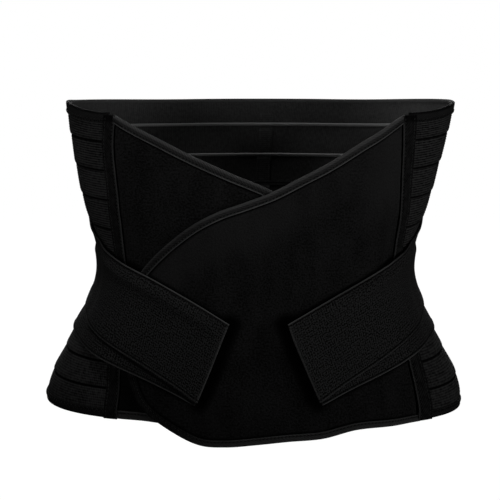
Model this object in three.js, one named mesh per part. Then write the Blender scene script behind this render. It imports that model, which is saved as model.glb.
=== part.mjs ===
// A postpartum belly wrap, fastened and in its worn form. Ribbed elastic bands run round the back and
// sides, two cloth panels cross in a V at the front, and a pair of straps on each side pulls in from
// the spine.
// Millimetres, +Z up. The front faces -Y, and the origin is the centre of the waist.
import * as THREE from "three";

// The torso that the wrap is worn on: each row is one level of its skin.
const ROUNDNESS = 2.4; // power of the super-ellipse of a level, 2 for an ellipse
const BODY = [
  { z: -140, halfWidth: 170.0, front: 122.5, back: 119.0, sway: -1.0 },
  { z: -112, halfWidth: 170.2, front: 119.9, back: 118.5, sway: -1.0 },
  { z: -101, halfWidth: 171.2, front: 118.6, back: 118.5, sway: -1.0 },
  { z: -86, halfWidth: 167.2, front: 116.8, back: 117.0, sway: -1.0 },
  { z: -70, halfWidth: 159.0, front: 114.6, back: 113.5, sway: -1.0 },
  { z: -44, halfWidth: 145.3, front: 110.8, back: 105.0, sway: -1.1 },
  { z: -20, halfWidth: 132.2, front: 107.6, back: 97.3, sway: -0.2 },
  { z: 2, halfWidth: 127.0, front: 105.8, back: 95.0, sway: 0.2 },
  { z: 28, halfWidth: 130.6, front: 105.0, back: 97.0, sway: 0.4 },
  { z: 56, halfWidth: 141.0, front: 105.2, back: 101.5, sway: 0.8 },
  { z: 84, halfWidth: 148.1, front: 106.0, back: 105.0, sway: 1.6 },
  { z: 112, halfWidth: 154.1, front: 107.0, back: 108.0, sway: 3.0 },
  { z: 140, halfWidth: 159.2, front: 108.0, back: 110.5, sway: 4.3 },
];

// The two side seams, in degrees from the front centre.
const SEAMS = [
  { z: -140, left: 47.2, right: 55.9 },
  { z: -105, left: 48.4, right: 56.0 },
  { z: -70, left: 49.8, right: 56.5 },
  { z: -25, left: 52.6, right: 57.8 },
  { z: 15, left: 54.0, right: 58.3 },
  { z: 75, left: 53.1, right: 55.8 },
  { z: 135, left: 54.1, right: 52.9 },
];

// Elastic bands, from the top down. Each one's lower edge laps over the next.
const TOP_Z = 138;
const BANDS = [
  { height: 24, rows: 1 },
  { height: 24, rows: 1 },
  { height: 24.5, rows: 1 },
  { height: 24.5, rows: 1 },
  { height: 26, rows: 2 },
  { height: 27, rows: 2 },
  { height: 27, rows: 2 },
  { height: 26, rows: 2 },
  { height: 21.5, rows: 1 },
  { height: 23.5, rows: 1 },
];
const BAND_THICKNESS = 1.3;
const BAND_LAP = 2;
const BAND_TILT = BAND_THICKNESS + 0.6; // how much further out a band's lower edge lies
const BAND_TUCK_DEG = 1.6; // how far behind the seam the bands end, under the side tape
const BACK_SAG = { depth: 5, start: 75, end: 150 }; // how much lower the bands lie at the back
const HIP_RISE = { height: 3.5, top: -60, bottom: -110 }; // how much the lower edge rises at the left hip
const RIM_DIP = { depth: 3.2, start: 60, end: 85, height: 24 }; // how the top edge dips at the side tapes
const BAND_STEPS = 39;

// Hems folded round the elastic's upper and lower edges.
const HEM_THICKNESS = 0.7;
const HEM_GAP = 0.45; // between the folded hem and the band inside it
const TOP_HEM_HEIGHT = 8.5;
const BOTTOM_HEM_HEIGHT = 6;
const HEM_START = 0.75; // share of the first and last facet that stays bare, beside the side tapes

// Tapes over the two side seams, and over the strap ends at the spine.
const TAPE_WIDTH = 13;
const TAPE_THICKNESS = 1.1;
const TAPE_OUT = 4.15;
const TAPE_TOP_Z = 136;
const TAPE_BOTTOM_Z = { left: -109, right: -112 };
const TAPE_STEPS = 18;
const SPINE_ANGLE = 176.6; // the spine lies a little to the right of the front centre
const SPINE_TAPE = { width: 22, out: 4.8, lift: 2.2, top: 136, bottom: -112 };
const SPINE_LIFT_Z = { bottomStart: -66, bottomEnd: -52, topStart: 90, topEnd: 104 }; // over the strap ends
const SPINE_CHANNEL = { width: 12, out: -1.5, lift: 0, top: 126, bottom: -101 };

// Front panels. Each row is a line across the panel, from its lower edge to its upper edge. Shares run from
// -1 at the left seam, through 0 at the front centre, to 1 at the right seam.
const PANEL_THICKNESS = 2;
const PANEL_OUT = 0.9;
const OVERLAP_LIFT = 4.8; // how much further out the over panel lies where it covers the under panel
const LIFT_RAMP_DEG = { start: 0.5, end: 10 }; // measured from the right seam
const PANEL_TUCK_SHARE = 1.012; // the panel's side edge, under the side tape
const OVER_PANEL = [
  { topShare: PANEL_TUCK_SHARE, topZ: 135.5, bottomShare: PANEL_TUCK_SHARE, bottomZ: -111.5 },
  { topShare: 0.784, topZ: 116.6, bottomShare: 0.83, bottomZ: -112.6 },
  { topShare: 0.524, topZ: 97.8, bottomShare: 0.64, bottomZ: -114.4 },
  { topShare: 0.317, topZ: 86.8, bottomShare: 0.44, bottomZ: -119.2 },
  { topShare: 0.111, topZ: 76.4, bottomShare: 0.22, bottomZ: -122.4 },
  { topShare: -0.1, topZ: 68.4, bottomShare: -0.01, bottomZ: -125.7 },
  { topShare: -0.3, topZ: 60.5, bottomShare: -0.22, bottomZ: -127.3 },
  { topShare: -0.49, topZ: 49, bottomShare: -0.42, bottomZ: -125.8 },
  { topShare: -0.665, topZ: 32.5, bottomShare: -0.62, bottomZ: -115.2 },
  { topShare: -0.8, topZ: 16.3, bottomShare: -0.79, bottomZ: -99 },
  { topShare: -0.875, topZ: 3.5, bottomShare: -0.885, bottomZ: -80 },
  { topShare: -0.915, topZ: -13, bottomShare: -0.93, bottomZ: -58 },
];
const UNDER_PANEL = [
  { topShare: -PANEL_TUCK_SHARE, topZ: 135.5, bottomShare: -PANEL_TUCK_SHARE, bottomZ: -108 },
  { topShare: -0.785, topZ: 119, bottomShare: -0.81, bottomZ: -108.4 },
  { topShare: -0.52, topZ: 103.8, bottomShare: -0.61, bottomZ: -111 },
  { topShare: -0.224, topZ: 88, bottomShare: -0.39, bottomZ: -115.5 },
  { topShare: 0.08, topZ: 75.8, bottomShare: -0.16, bottomZ: -119 },
  { topShare: 0.3, topZ: 63, bottomShare: 0.08, bottomZ: -118.5 },
  { topShare: 0.5, topZ: 47, bottomShare: 0.32, bottomZ: -114.5 },
  { topShare: 0.66, topZ: 28, bottomShare: 0.54, bottomZ: -104 },
  { topShare: 0.77, topZ: 6, bottomShare: 0.7, bottomZ: -86 },
  { topShare: 0.81, topZ: -16, bottomShare: 0.8, bottomZ: -58 },
];
const PANEL_STEPS_PER_ROW = 2;
const SEAM_ROWS = [0, 0.14, 0.3, 0.5, 0.75]; // finer steps beside the seam
const PANEL_HEIGHTS = [0, 0.035, 0.16, 0.29, 0.4, 0.5, 0.61, 0.76, 0.965, 1]; // finer at waist and edges

// Binding folded round the panels' free edges.
const BINDING_WIDTH = 7;
const BINDING_THICKNESS = 0.6;
const BINDING_GAP = 0.6; // between the folded binding and the panel inside it

// Straps, from the slanting front end to the spine, in degrees from the front centre on either side.
const STRAP_THICKNESS = 1.3;
const STRAP_LAYER = STRAP_THICKNESS + 0.8; // the upper strap lies this much further out than the lower one
const LAYER_DROP = { start: 1, end: 16 }; // above the lower strap, where the upper one drops to the bands
const STRAP_STEPS = 29;
const STRAP_ROWS = 4;
const FRONT_SHIFT = { angle: 1.45, start: 40, end: 62 }; // the front ends are set a little to the right
const SPINE_SHIFT = { angle: SPINE_ANGLE - 180, start: 100, end: 178 }; // and so are the ends at the spine
const UPPER_STRAP = [
  { topAngle: 11.5, topZ: -30.6, bottomAngle: 22.1, bottomZ: -93 },
  { topAngle: 28.7, topZ: -10.5, bottomAngle: 34.5, bottomZ: -75.5 },
  { topAngle: 45.5, topZ: 7.7, bottomAngle: 47, bottomZ: -59.8 },
  { topAngle: 57.6, topZ: 18.9, bottomAngle: 59, bottomZ: -47.5 },
  { topAngle: 66, topZ: 27, bottomAngle: 67, bottomZ: -40.5 },
  { topAngle: 74, topZ: 37, bottomAngle: 74.5, bottomZ: -34 },
  { topAngle: 93, topZ: 53, bottomAngle: 93, bottomZ: -21 },
  { topAngle: 128, topZ: 76, bottomAngle: 128, bottomZ: 9 },
  { topAngle: 178, topZ: 86, bottomAngle: 178, bottomZ: 24 },
];
const LOWER_STRAP = [
  { topAngle: 13, topZ: -32.5, bottomAngle: 23, bottomZ: -95 },
  { topAngle: 30, topZ: -15, bottomAngle: 36, bottomZ: -81.5 },
  { topAngle: 46, topZ: -2, bottomAngle: 47.5, bottomZ: -71.2 },
  { topAngle: 55.5, topZ: 6.5, bottomAngle: 57.5, bottomZ: -63.3 },
  { topAngle: 68, topZ: 13, bottomAngle: 68, bottomZ: -55.3 },
  { topAngle: 78, topZ: 16, bottomAngle: 78, bottomZ: -50.8 },
  { topAngle: 93, topZ: 18, bottomAngle: 93, bottomZ: -47.5 },
  { topAngle: 128, topZ: 16, bottomAngle: 128, bottomZ: -46 },
  { topAngle: 178, topZ: 14, bottomAngle: 178, bottomZ: -46 },
];
// How far out from the skin the straps lie: over the panels, the side tape, then the bands.
const STRAP_OUT = [
  { angle: 0, out: 11.2 },
  { angle: 14, out: 10.8 },
  { angle: 24, out: 10.4 },
  { angle: 40, out: 9.7 },
  { angle: 51.5, out: 9.5 },
  { angle: 60, out: 7.3 },
  { angle: 66, out: 5.9 },
  { angle: 72, out: 4.3 },
  { angle: 180, out: 4.3 },
];

// Hook fasteners behind the strap ends and behind the over panel's free end.
const STRAP_HOOK = { fromAngle: 15.5, toAngle: 26, margin: 0.14, out: 8.3, thickness: 1.1 };
const CLOSURE_HOOK = { fromShare: -0.8, toShare: -0.46, bottomZ: -78, topZ: 0, out: 3.8, thickness: 1.1 };
const HOOK_STEPS = 4;

// Colours and surfaces of the black cloths.
const CLOTHS = {
  elastic: { color: 0x171717, roughness: 0.8 },
  plush: { color: 0x0e0e0e, roughness: 0.95 },
  trim: { color: 0x141414, roughness: 0.75 },
  webbing: { color: 0x121212, roughness: 0.85 },
  hook: { color: 0x0c0c0c, roughness: 0.9 },
};

// A smooth curve through one column of a table, read at a place along another column.
function smooth(table, along, column, at) {
  const last = table.length - 1;
  const place = THREE.MathUtils.clamp(at, table[0][along], table[last][along]);
  const found = table.findIndex((row, k) => k > 0 && place <= row[along]);
  const [before, after] = [table[found - 1], table[found]];
  const slope = (k) => {
    const [low, high] = [table[Math.max(k - 1, 0)], table[Math.min(k + 1, last)]];
    return (high[column] - low[column]) / (high[along] - low[along]);
  };
  const span = after[along] - before[along];
  const t = (place - before[along]) / span;
  const rise = after[column] - before[column];
  const [startRise, endRise] = [slope(found - 1) * span, slope(found) * span];
  const bend = (startRise - rise) * (1 - t) + (rise - endRise) * t;
  return before[column] + t * rise + t * (1 - t) * bend;
}

// The same curve through a table whose rows are evenly spaced, read by row number.
function smoothRow(table, column, row) {
  return smooth(
    table.map((values, number) => ({ ...values, number })),
    "number",
    column,
    row,
  );
}

const evenly = (steps) => Array.from({ length: steps + 1 }, (_, k) => k / steps);

// A point of the skin, at an angle from the front centre and a height.
function skin(angle, z) {
  const turn = THREE.MathUtils.degToRad(angle);
  const across = Math.abs(Math.sin(turn) / smooth(BODY, "z", "halfWidth", z)) ** ROUNDNESS;
  const halfDepth = smooth(BODY, "z", Math.cos(turn) > 0 ? "front" : "back", z);
  const deep = Math.abs(Math.cos(turn) / halfDepth) ** ROUNDNESS;
  const radius = (across + deep) ** (-1 / ROUNDNESS);
  const x = smooth(BODY, "z", "sway", z) + radius * Math.sin(turn);
  return new THREE.Vector3(x, -radius * Math.cos(turn), z);
}

const PROBE = 0.5; // step in degrees and millimetres for measuring the skin's directions

// The skin's directions at a place: the way for a degree round and for a millimetre up, and the normal.
function directions(angle, z) {
  const round = skin(angle + PROBE, z).sub(skin(angle - PROBE, z)).divideScalar(2 * PROBE);
  const up = skin(angle, z + PROBE).sub(skin(angle, z - PROBE)).divideScalar(2 * PROBE);
  return { round, up, normal: round.clone().cross(up).normalize() };
}

// A point at a distance out from the skin.
function onBody(angle, z, out) {
  return skin(angle, z).addScaledVector(directions(angle, z).normal, out);
}

const degreesFor = (millimetres, angle, z) => millimetres / directions(angle, z).round.length();

const leftSeam = (z) => smooth(SEAMS, "z", "left", z);
const rightSeam = (z) => smooth(SEAMS, "z", "right", z);
const shareAngle = (share, z) => share * (share < 0 ? leftSeam(z) : rightSeam(z));

// A closed solid through cross-sections, each a pair of equal chains of points: an outer and an inner face.
function clothSolid(sections) {
  const chain = sections[0].outer.length;
  const ring = 2 * chain;
  const points = sections.flatMap(({ outer, inner }) => [...outer, ...inner.toReversed()]);
  const index = [];
  const quad = (a, b, c, d) => index.push(a, b, c, a, c, d);
  for (let start = 0; start + ring < points.length; start += ring) {
    for (let k = 0; k < ring; k++) {
      const next = (k + 1) % ring;
      quad(start + k, start + next, start + ring + next, start + ring + k);
    }
  }
  const end = points.length - ring;
  for (let k = 0; k + 1 < chain; k++) {
    const [a, b, c, d] = [k, k + 1, ring - 2 - k, ring - 1 - k];
    quad(d, c, b, a);
    quad(end + a, end + b, end + c, end + d);
  }
  let volume = 0;
  for (let k = 0; k < index.length; k += 3) {
    const [a, b, c] = [points[index[k]], points[index[k + 1]], points[index[k + 2]]];
    volume += a.dot(b.clone().cross(c)) / 6;
  }
  const geometry = new THREE.BufferGeometry().setFromPoints(points);
  geometry.setIndex(volume < 0 ? index.reverse() : index);
  geometry.computeVertexNormals();
  return geometry;
}

// A piece of cloth lying on the body, cut into facets at lists of places along and across it.
// place(u, v) gives the angle, the height and the distance of its inner face from the skin.
function clothOnBody(alongs, acrosses, thickness, place) {
  const sections = alongs.map((u) => {
    const places = acrosses.map((v) => place(u, v));
    return {
      outer: places.map(({ angle, z, out }) => onBody(angle, z, out + thickness)),
      inner: places.map(({ angle, z, out }) => onBody(angle, z, out)),
    };
  });
  return clothSolid(sections);
}

// Elastic bands and hems

// How much lower than its nominal height a place on the elastic lies.
function sag(angle, z) {
  const aside = Math.min(angle, 360 - angle);
  const back = THREE.MathUtils.smoothstep(aside, BACK_SAG.start, BACK_SAG.end);
  const dip = 1 - THREE.MathUtils.smoothstep(aside, RIM_DIP.start, RIM_DIP.end);
  const nearRim = THREE.MathUtils.clamp(1 - (TOP_Z - z) / RIM_DIP.height, 0, 1);
  const leftHip = Math.max(0, -Math.sin(THREE.MathUtils.degToRad(angle)));
  const nearHem = 1 - THREE.MathUtils.smoothstep(z, HIP_RISE.bottom, HIP_RISE.top);
  return BACK_SAG.depth * back + RIM_DIP.depth * dip * nearRim - HIP_RISE.height * leftHip * nearHem;
}

// The angle at a share of the way from the right seam, round the back, to the left seam.
function roundTheBack(u, z) {
  return THREE.MathUtils.lerp(rightSeam(z) + BAND_TUCK_DEG, 360 - leftSeam(z) - BAND_TUCK_DEG, u);
}

function bandLevels() {
  let top = TOP_Z;
  return BANDS.map(({ height, rows }, number) => {
    const level = { bottom: top - height, tucked: top + (number > 0 ? BAND_LAP : 0), rows };
    top = level.bottom;
    return level;
  });
}

// A place in a band's inner face, at a share of the way round the back and a share of the way up.
function bandPlace(level, u, v) {
  const z = THREE.MathUtils.lerp(level.bottom, level.tucked, v);
  const angle = roundTheBack(u, z);
  return { angle, z: z - sag(angle, z), out: BAND_TILT * (1 - v) };
}

function elasticBand(level) {
  const place = (u, v) => bandPlace(level, u, v);
  return clothOnBody(evenly(BAND_STEPS), evenly(level.rows), BAND_THICKNESS, place);
}

// A hem folded round a band's edge. Inwards is -1 from the upper edge and 1 from the lower edge.
function hem(level, inwards, height) {
  const edge = inwards < 0 ? level.tucked : level.bottom;
  const edgePoint = (u, v, aside) => {
    const { angle, z, out } = bandPlace(level, u, v);
    return onBody(angle, z, out + BAND_THICKNESS / 2 + aside);
  };
  const point = (u, depth, aside) => {
    const share = (edge + inwards * depth - level.bottom) / (level.tucked - level.bottom);
    return edgePoint(u, 0, aside).lerp(edgePoint(u, 1, aside), share);
  };
  const near = BAND_THICKNESS / 2 + HEM_GAP;
  const far = near + HEM_THICKNESS;
  const fold = (u, aside, end) => [
    point(u, height, aside),
    point(u, -end, aside),
    point(u, -end, -aside),
    point(u, height, -aside),
  ];
  const sections = evenly(BAND_STEPS).map((u) => ({
    outer: fold(u, far, HEM_GAP + HEM_THICKNESS),
    inner: fold(u, near, HEM_GAP),
  }));
  const shorten = (end, next) => {
    end.outer.forEach((corner, k) => corner.lerp(next.outer[k], HEM_START));
    end.inner.forEach((corner, k) => corner.lerp(next.inner[k], HEM_START));
  };
  shorten(sections[0], sections[1]);
  shorten(sections.at(-1), sections.at(-2));
  return clothSolid(sections);
}

// Tapes

function sideTape(side, bottom) {
  const seam = side < 0 ? leftSeam : rightSeam;
  return clothOnBody(evenly(TAPE_STEPS), evenly(1), TAPE_THICKNESS, (u, v) => {
    const z = THREE.MathUtils.lerp(bottom, TAPE_TOP_Z, u);
    const width = degreesFor(TAPE_WIDTH, side * seam(z), z);
    return { angle: side * (seam(z) + v * width), z, out: TAPE_OUT };
  });
}

function spineStrip({ width, out, lift, top, bottom }) {
  const { bottomStart, bottomEnd, topStart, topEnd } = SPINE_LIFT_Z;
  return clothOnBody(evenly(TAPE_STEPS), evenly(1), TAPE_THICKNESS, (u, v) => {
    const z = THREE.MathUtils.lerp(bottom, top, u) - BACK_SAG.depth;
    const rise = THREE.MathUtils.smoothstep(z, bottomStart, bottomEnd);
    const fall = THREE.MathUtils.smoothstep(z, topStart, topEnd);
    const angle = SPINE_ANGLE + (v - 0.5) * degreesFor(width, SPINE_ANGLE, z);
    return { angle, z, out: out + lift * (rise - fall) };
  });
}

// Front panels and their bindings

const underPanelOut = () => PANEL_OUT;

function overPanelOut(angle, z) {
  const { start, end } = LIFT_RAMP_DEG;
  return PANEL_OUT + OVERLAP_LIFT * THREE.MathUtils.smoothstep(rightSeam(z) - angle, start, end);
}

// The row numbers at which a panel and its binding are cut into facets. The binding starts at the second.
function panelRows(table) {
  const free = table.length - 2;
  return [...SEAM_ROWS, ...evenly(free * PANEL_STEPS_PER_ROW).map((u) => 1 + u * free)];
}

// The place at a row number along a panel and a share of the way from its lower to its upper edge.
function panelPlace(table, row, v) {
  const read = (column) => smoothRow(table, column, row);
  const share = THREE.MathUtils.lerp(read("bottomShare"), read("topShare"), v);
  const z = THREE.MathUtils.lerp(read("bottomZ"), read("topZ"), v);
  return { angle: shareAngle(share, z), z };
}

function frontPanel(table, panelOut) {
  return clothOnBody(panelRows(table), PANEL_HEIGHTS, PANEL_THICKNESS, (row, v) => {
    const { angle, z } = panelPlace(table, row, v);
    return { angle, z, out: panelOut(angle, z) };
  });
}

// The places along a panel's free edges: away along one edge, across its free end and back along the other.
function freeEdge(table, awayAlong) {
  const rows = panelRows(table).slice(1);
  const away = rows.map((row) => panelPlace(table, row, awayAlong));
  const across = awayAlong ? PANEL_HEIGHTS.toReversed() : PANEL_HEIGHTS;
  const end = across.slice(1, -1).map((v) => panelPlace(table, rows.at(-1), v));
  const back = rows.toReversed().map((row) => panelPlace(table, row, 1 - awayAlong));
  return [...away, ...end, ...back];
}

// The place reached from a place on the skin by a step along the skin, in a direction in space.
function stepAlong({ angle, z }, direction, distance) {
  const { round, up } = directions(angle, z);
  const [rr, ru, uu] = [round.dot(round), round.dot(up), up.dot(up)];
  const [dr, du] = [direction.dot(round) * distance, direction.dot(up) * distance];
  const area = rr * uu - ru * ru;
  return { angle: angle + (dr * uu - du * ru) / area, z: z + (du * rr - dr * ru) / area };
}

// A binding folded round a free edge that runs anticlockwise, seen from outside. Its ends are cut upright.
function binding(edge, panelOut) {
  const points = edge.map(({ angle, z }) => skin(angle, z));
  const last = edge.length - 1;
  const near = PANEL_THICKNESS / 2 + BINDING_GAP;
  const far = near + BINDING_THICKNESS;
  const sections = edge.map((place, k) => {
    const heading = points[Math.min(k + 1, last)].clone().sub(points[Math.max(k - 1, 0)]);
    const { up, normal } = directions(place.angle, place.z);
    const inward = normal.cross(heading);
    if (k === 0 || k === last) inward.projectOnVector(up);
    inward.normalize();
    const point = (depth, aside) => {
      const { angle, z } = stepAlong(place, inward, depth);
      return onBody(angle, z, panelOut(angle, z) + PANEL_THICKNESS / 2 + aside);
    };
    const fold = (aside, end) => [
      point(BINDING_WIDTH, aside),
      point(-end, aside),
      point(-end, -aside),
      point(BINDING_WIDTH, -aside),
    ];
    return { outer: fold(far, BINDING_GAP + BINDING_THICKNESS), inner: fold(near, BINDING_GAP) };
  });
  return clothSolid(sections);
}

// Straps and hook fasteners

// The place at an angle along a strap's upper edge and a share of the way up from its lower edge.
function strapPlace(table, side, topAngle, v) {
  const read = (column) => smooth(table, "topAngle", column, topAngle);
  const angle = THREE.MathUtils.lerp(read("bottomAngle"), topAngle, v);
  const z = THREE.MathUtils.lerp(read("bottomZ"), read("topZ"), v);
  const front = 1 - THREE.MathUtils.smoothstep(angle, FRONT_SHIFT.start, FRONT_SHIFT.end);
  const back = THREE.MathUtils.smoothstep(angle, SPINE_SHIFT.start, SPINE_SHIFT.end);
  const shift = FRONT_SHIFT.angle * front + SPINE_SHIFT.angle * back;
  return { angle: side * angle + shift, z, out: smooth(STRAP_OUT, "angle", "out", angle) };
}

function strap(table, side, layer) {
  return clothOnBody(evenly(STRAP_STEPS), evenly(STRAP_ROWS), STRAP_THICKNESS, (u, v) => {
    const topAngle = THREE.MathUtils.lerp(table[0].topAngle, table.at(-1).topAngle, u);
    const place = strapPlace(table, side, topAngle, v);
    const above = place.z - smooth(LOWER_STRAP, "topAngle", "topZ", Math.abs(place.angle));
    const drop = THREE.MathUtils.smoothstep(above, LAYER_DROP.start, LAYER_DROP.end);
    return { ...place, out: place.out + layer * (1 - drop) };
  });
}

function strapHook(side) {
  const { fromAngle, toAngle, margin, out, thickness } = STRAP_HOOK;
  return clothOnBody(evenly(HOOK_STEPS), evenly(HOOK_STEPS), thickness, (u, v) => {
    const topAngle = THREE.MathUtils.lerp(fromAngle, toAngle, u);
    const place = strapPlace(LOWER_STRAP, side, topAngle, THREE.MathUtils.lerp(margin, 1 - margin, v));
    return { ...place, out };
  });
}

function closureHook() {
  const { fromShare, toShare, bottomZ, topZ, out, thickness } = CLOSURE_HOOK;
  return clothOnBody(evenly(HOOK_STEPS), evenly(HOOK_STEPS), thickness, (u, v) => {
    const z = THREE.MathUtils.lerp(bottomZ, topZ, v);
    const share = THREE.MathUtils.lerp(fromShare, toShare, u);
    return { angle: shareAngle(share, z), z, out };
  });
}

// The assembly

const wrap = new THREE.Group();
const materials = {};
for (const [name, look] of Object.entries(CLOTHS)) {
  materials[name] = new THREE.MeshStandardMaterial({ ...look, metalness: 0 });
}

function addPiece(name, cloth, geometry) {
  const mesh = new THREE.Mesh(geometry, materials[cloth]);
  mesh.name = name;
  wrap.add(mesh);
}

const levels = bandLevels();
levels.forEach((level, number) => {
  addPiece(`elastic_band_${String(number + 1).padStart(2, "0")}`, "elastic", elasticBand(level));
});
addPiece("top_hem", "trim", hem(levels[0], -1, TOP_HEM_HEIGHT));
addPiece("bottom_hem", "trim", hem(levels.at(-1), 1, BOTTOM_HEM_HEIGHT));

addPiece("side_tape_left", "trim", sideTape(-1, TAPE_BOTTOM_Z.left));
addPiece("side_tape_right", "trim", sideTape(1, TAPE_BOTTOM_Z.right));
addPiece("spine_tape", "trim", spineStrip(SPINE_TAPE));
addPiece("spine_channel", "trim", spineStrip(SPINE_CHANNEL));

addPiece("front_panel_under", "plush", frontPanel(UNDER_PANEL, underPanelOut));
addPiece("front_panel_over", "plush", frontPanel(OVER_PANEL, overPanelOut));
addPiece("binding_under", "trim", binding(freeEdge(UNDER_PANEL, 0), underPanelOut));
addPiece("binding_over", "trim", binding(freeEdge(OVER_PANEL, 1), overPanelOut));
addPiece("closure_hook", "hook", closureHook());

for (const [word, side] of [["left", -1], ["right", 1]]) {
  addPiece(`strap_lower_${word}`, "webbing", strap(LOWER_STRAP, side, 0));
  addPiece(`strap_upper_${word}`, "webbing", strap(UPPER_STRAP, side, STRAP_LAYER));
  addPiece(`strap_hook_${word}`, "hook", strapHook(side));
}

export default wrap;
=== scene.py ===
"""The looks of a postpartum belly wrap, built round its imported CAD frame.

Blender's objects are in metres. The tables are in millimetres and degrees. The front faces -Y and +Z is up. A place
on the wrap is an angle round the body from the front centre, a height, and a distance out from the skin.
"""
import math

import bpy
import numpy as np
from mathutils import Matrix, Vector


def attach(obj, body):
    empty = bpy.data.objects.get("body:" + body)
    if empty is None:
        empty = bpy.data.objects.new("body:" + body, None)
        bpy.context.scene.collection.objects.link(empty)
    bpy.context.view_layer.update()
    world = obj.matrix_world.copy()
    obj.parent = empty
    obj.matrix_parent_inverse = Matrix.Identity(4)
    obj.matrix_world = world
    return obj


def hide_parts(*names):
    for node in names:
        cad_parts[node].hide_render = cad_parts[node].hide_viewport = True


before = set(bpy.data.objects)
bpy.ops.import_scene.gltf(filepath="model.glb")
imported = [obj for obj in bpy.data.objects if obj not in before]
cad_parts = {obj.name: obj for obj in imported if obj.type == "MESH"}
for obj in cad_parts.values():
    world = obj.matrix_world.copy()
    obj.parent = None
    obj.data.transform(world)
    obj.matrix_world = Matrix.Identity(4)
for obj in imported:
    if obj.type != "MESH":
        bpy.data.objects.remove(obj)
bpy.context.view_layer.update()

bl_info = {
    "name": "Belly wrap",
    "version": (1, 0, 0),
    "blender": (4, 5, 0),
    "location": "View3D > Sidebar > Belly wrap",
    "description": "Builds a fastened belly wrap in its worn form round its CAD frame",
    "category": "Object",
}

MM = 0.001


def table(columns, rows):
    """A table of numbers as one array for each named column."""
    return dict(zip(columns.split(), np.array(rows, float).T))


# The body that the wrap is worn on: each row is one level of its skin.
ROUNDNESS = 2.4  # power of the super-ellipse of a level, 2 for an ellipse
BODY = table("z half_width front back sway", [
    (-140, 170.0, 122.5, 119.0, -1.0),
    (-112, 170.2, 119.9, 118.5, -1.0),
    (-101, 171.2, 118.6, 118.5, -1.0),
    (-86, 167.2, 116.8, 117.0, -1.0),
    (-70, 159.0, 114.6, 113.5, -1.0),
    (-44, 145.3, 110.8, 105.0, -1.1),
    (-20, 132.2, 107.6, 97.3, -0.2),
    (2, 127.0, 105.8, 95.0, 0.2),
    (28, 130.6, 105.0, 97.0, 0.4),
    (56, 141.0, 105.2, 101.5, 0.8),
    (84, 148.1, 106.0, 105.0, 1.6),
    (112, 154.1, 107.0, 108.0, 3.0),
    (140, 159.2, 108.0, 110.5, 4.3),
])

# The two side seams, in degrees from the front centre.
SEAMS = table("z left right", [
    (-140, 46.9, 55.9),
    (-105, 47.1, 56.2),
    (-84, 47.5, 56.3),
    (-70, 48.6, 56.6),
    (-25, 52.6, 58.6),
    (25, 55.2, 59.3),
    (50, 54.6, 58.2),
    (75, 54.5, 56.6),
    (110, 55.1, 54.5),
    (135, 53.9, 52.9),
])
# The straighter seams that the panels' shares are counted to.
CUT_SEAMS = table("z left right", [
    (-140, 47.2, 55.9),
    (-105, 48.4, 56.0),
    (-70, 49.8, 56.5),
    (-25, 52.6, 57.8),
    (15, 54.0, 58.3),
    (75, 53.1, 55.8),
    (135, 54.1, 52.9),
])
SEAM_PULL_SHARE = 0.72  # from here to the seam, a panel is drawn along with it

# Elastic bands, from the top down. Each one's lower edge laps over the next.
TOP_Z = 138
BAND_HEIGHTS = (24, 24, 24.5, 24.5, 26, 27, 27, 26, 21.5, 23.5)
BAND_THICKNESS = 0.9
BAND_STEP = 3.6  # from point to point along a band
POINTS_IN_RIB = 5
BAND_LAP = 2
BAND_EDGE_OUT = {"lower": 1.5, "tucked": 0.5}  # how far out a band's two edges lie
BAND_TUCK_DEG = 1.6  # how far behind the seam the bands end, under the side tape
BAND_CROWN = 0.1  # how far a band's middle bulges out
LAP_GROOVE = {"height": 0.5, "place": 0.7, "width": 0.7}  # drawn in below the band above, where it is sewn
LAP_SHADE = {"share": 0.97, "start": 2.2, "end": 1.4}  # how dark a band is in that groove, from below the lap
SELVEDGE = {"height": 0.7, "place": 1.1, "width": 0.924}  # rounded upper edge, on the inside
SELVEDGE_MARK = {"start": 2.6, "end": 2, "rounding": 0.5}  # where its upper edge is painted pale as a highlight, from that edge, and the rounding of its bead
HIDDEN_SELVEDGE = 0.3  # share of it on a band whose upper edge doesn't show pale
INNER_SHADE = {"share": 0.8, "start": 3, "end": 1.5}  # how dark the upper edges are on the inside, lower down
PALE_SELVEDGES = (2, 3)  # numbers of the bands whose upper edges are painted pale as highlights
FIRST_HIP_BAND = 6  # from here down the ribs are stretched flatter
HIP_RIBS = 0.55  # share of the ribs' height there
RIB_MARGIN = {"start": 0.9, "end": 1.6}  # where the ribs begin, from a band's two edges
BACK_SAG = {"depth": 5, "start": 75, "end": 150}  # how much lower the bands lie at the back
HIP_RISE = {"height": 3.5, "top": -60, "bottom": -110}  # how much the lower edge rises at the left hip
RIM_DIP = {"depth": 3.2, "start": 60, "end": 85, "height": 24}  # how the top edge dips at the side tapes
RIM_PEAK = {"left": 2.2, "right": 0.4, "place": 84, "width": 15}  # how the top edge stands up at the sides

# How much the bands are pulled up beside the tapes, at the sides and at the back.
SIDE_LIFT = table("z left_tape left_side right_tape right_side back", [
    (-112, -0.8, 0, -2, -2, 0),
    (-75, 0, 1.6, -3, 0, 0),
    (-40, 0.2, 1.6, -1.5, 1.5, 0),
    (40, 0.8, 2, 2, 4, 0),
    (92, 0.8, 2, 2.2, 4, 0),
    (115, 0.8, 2, 2.2, 4, 2.3),
    (138, 1.8, 1.2, 2, 2.2, 0),
])
LIFT_TURN = {"tape": 58, "side": 86, "fade": 95, "end": 140}  # where that goes from one to the next, in degrees
LENGTH_POINTS = 200  # that a cloth's length is measured along

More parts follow.
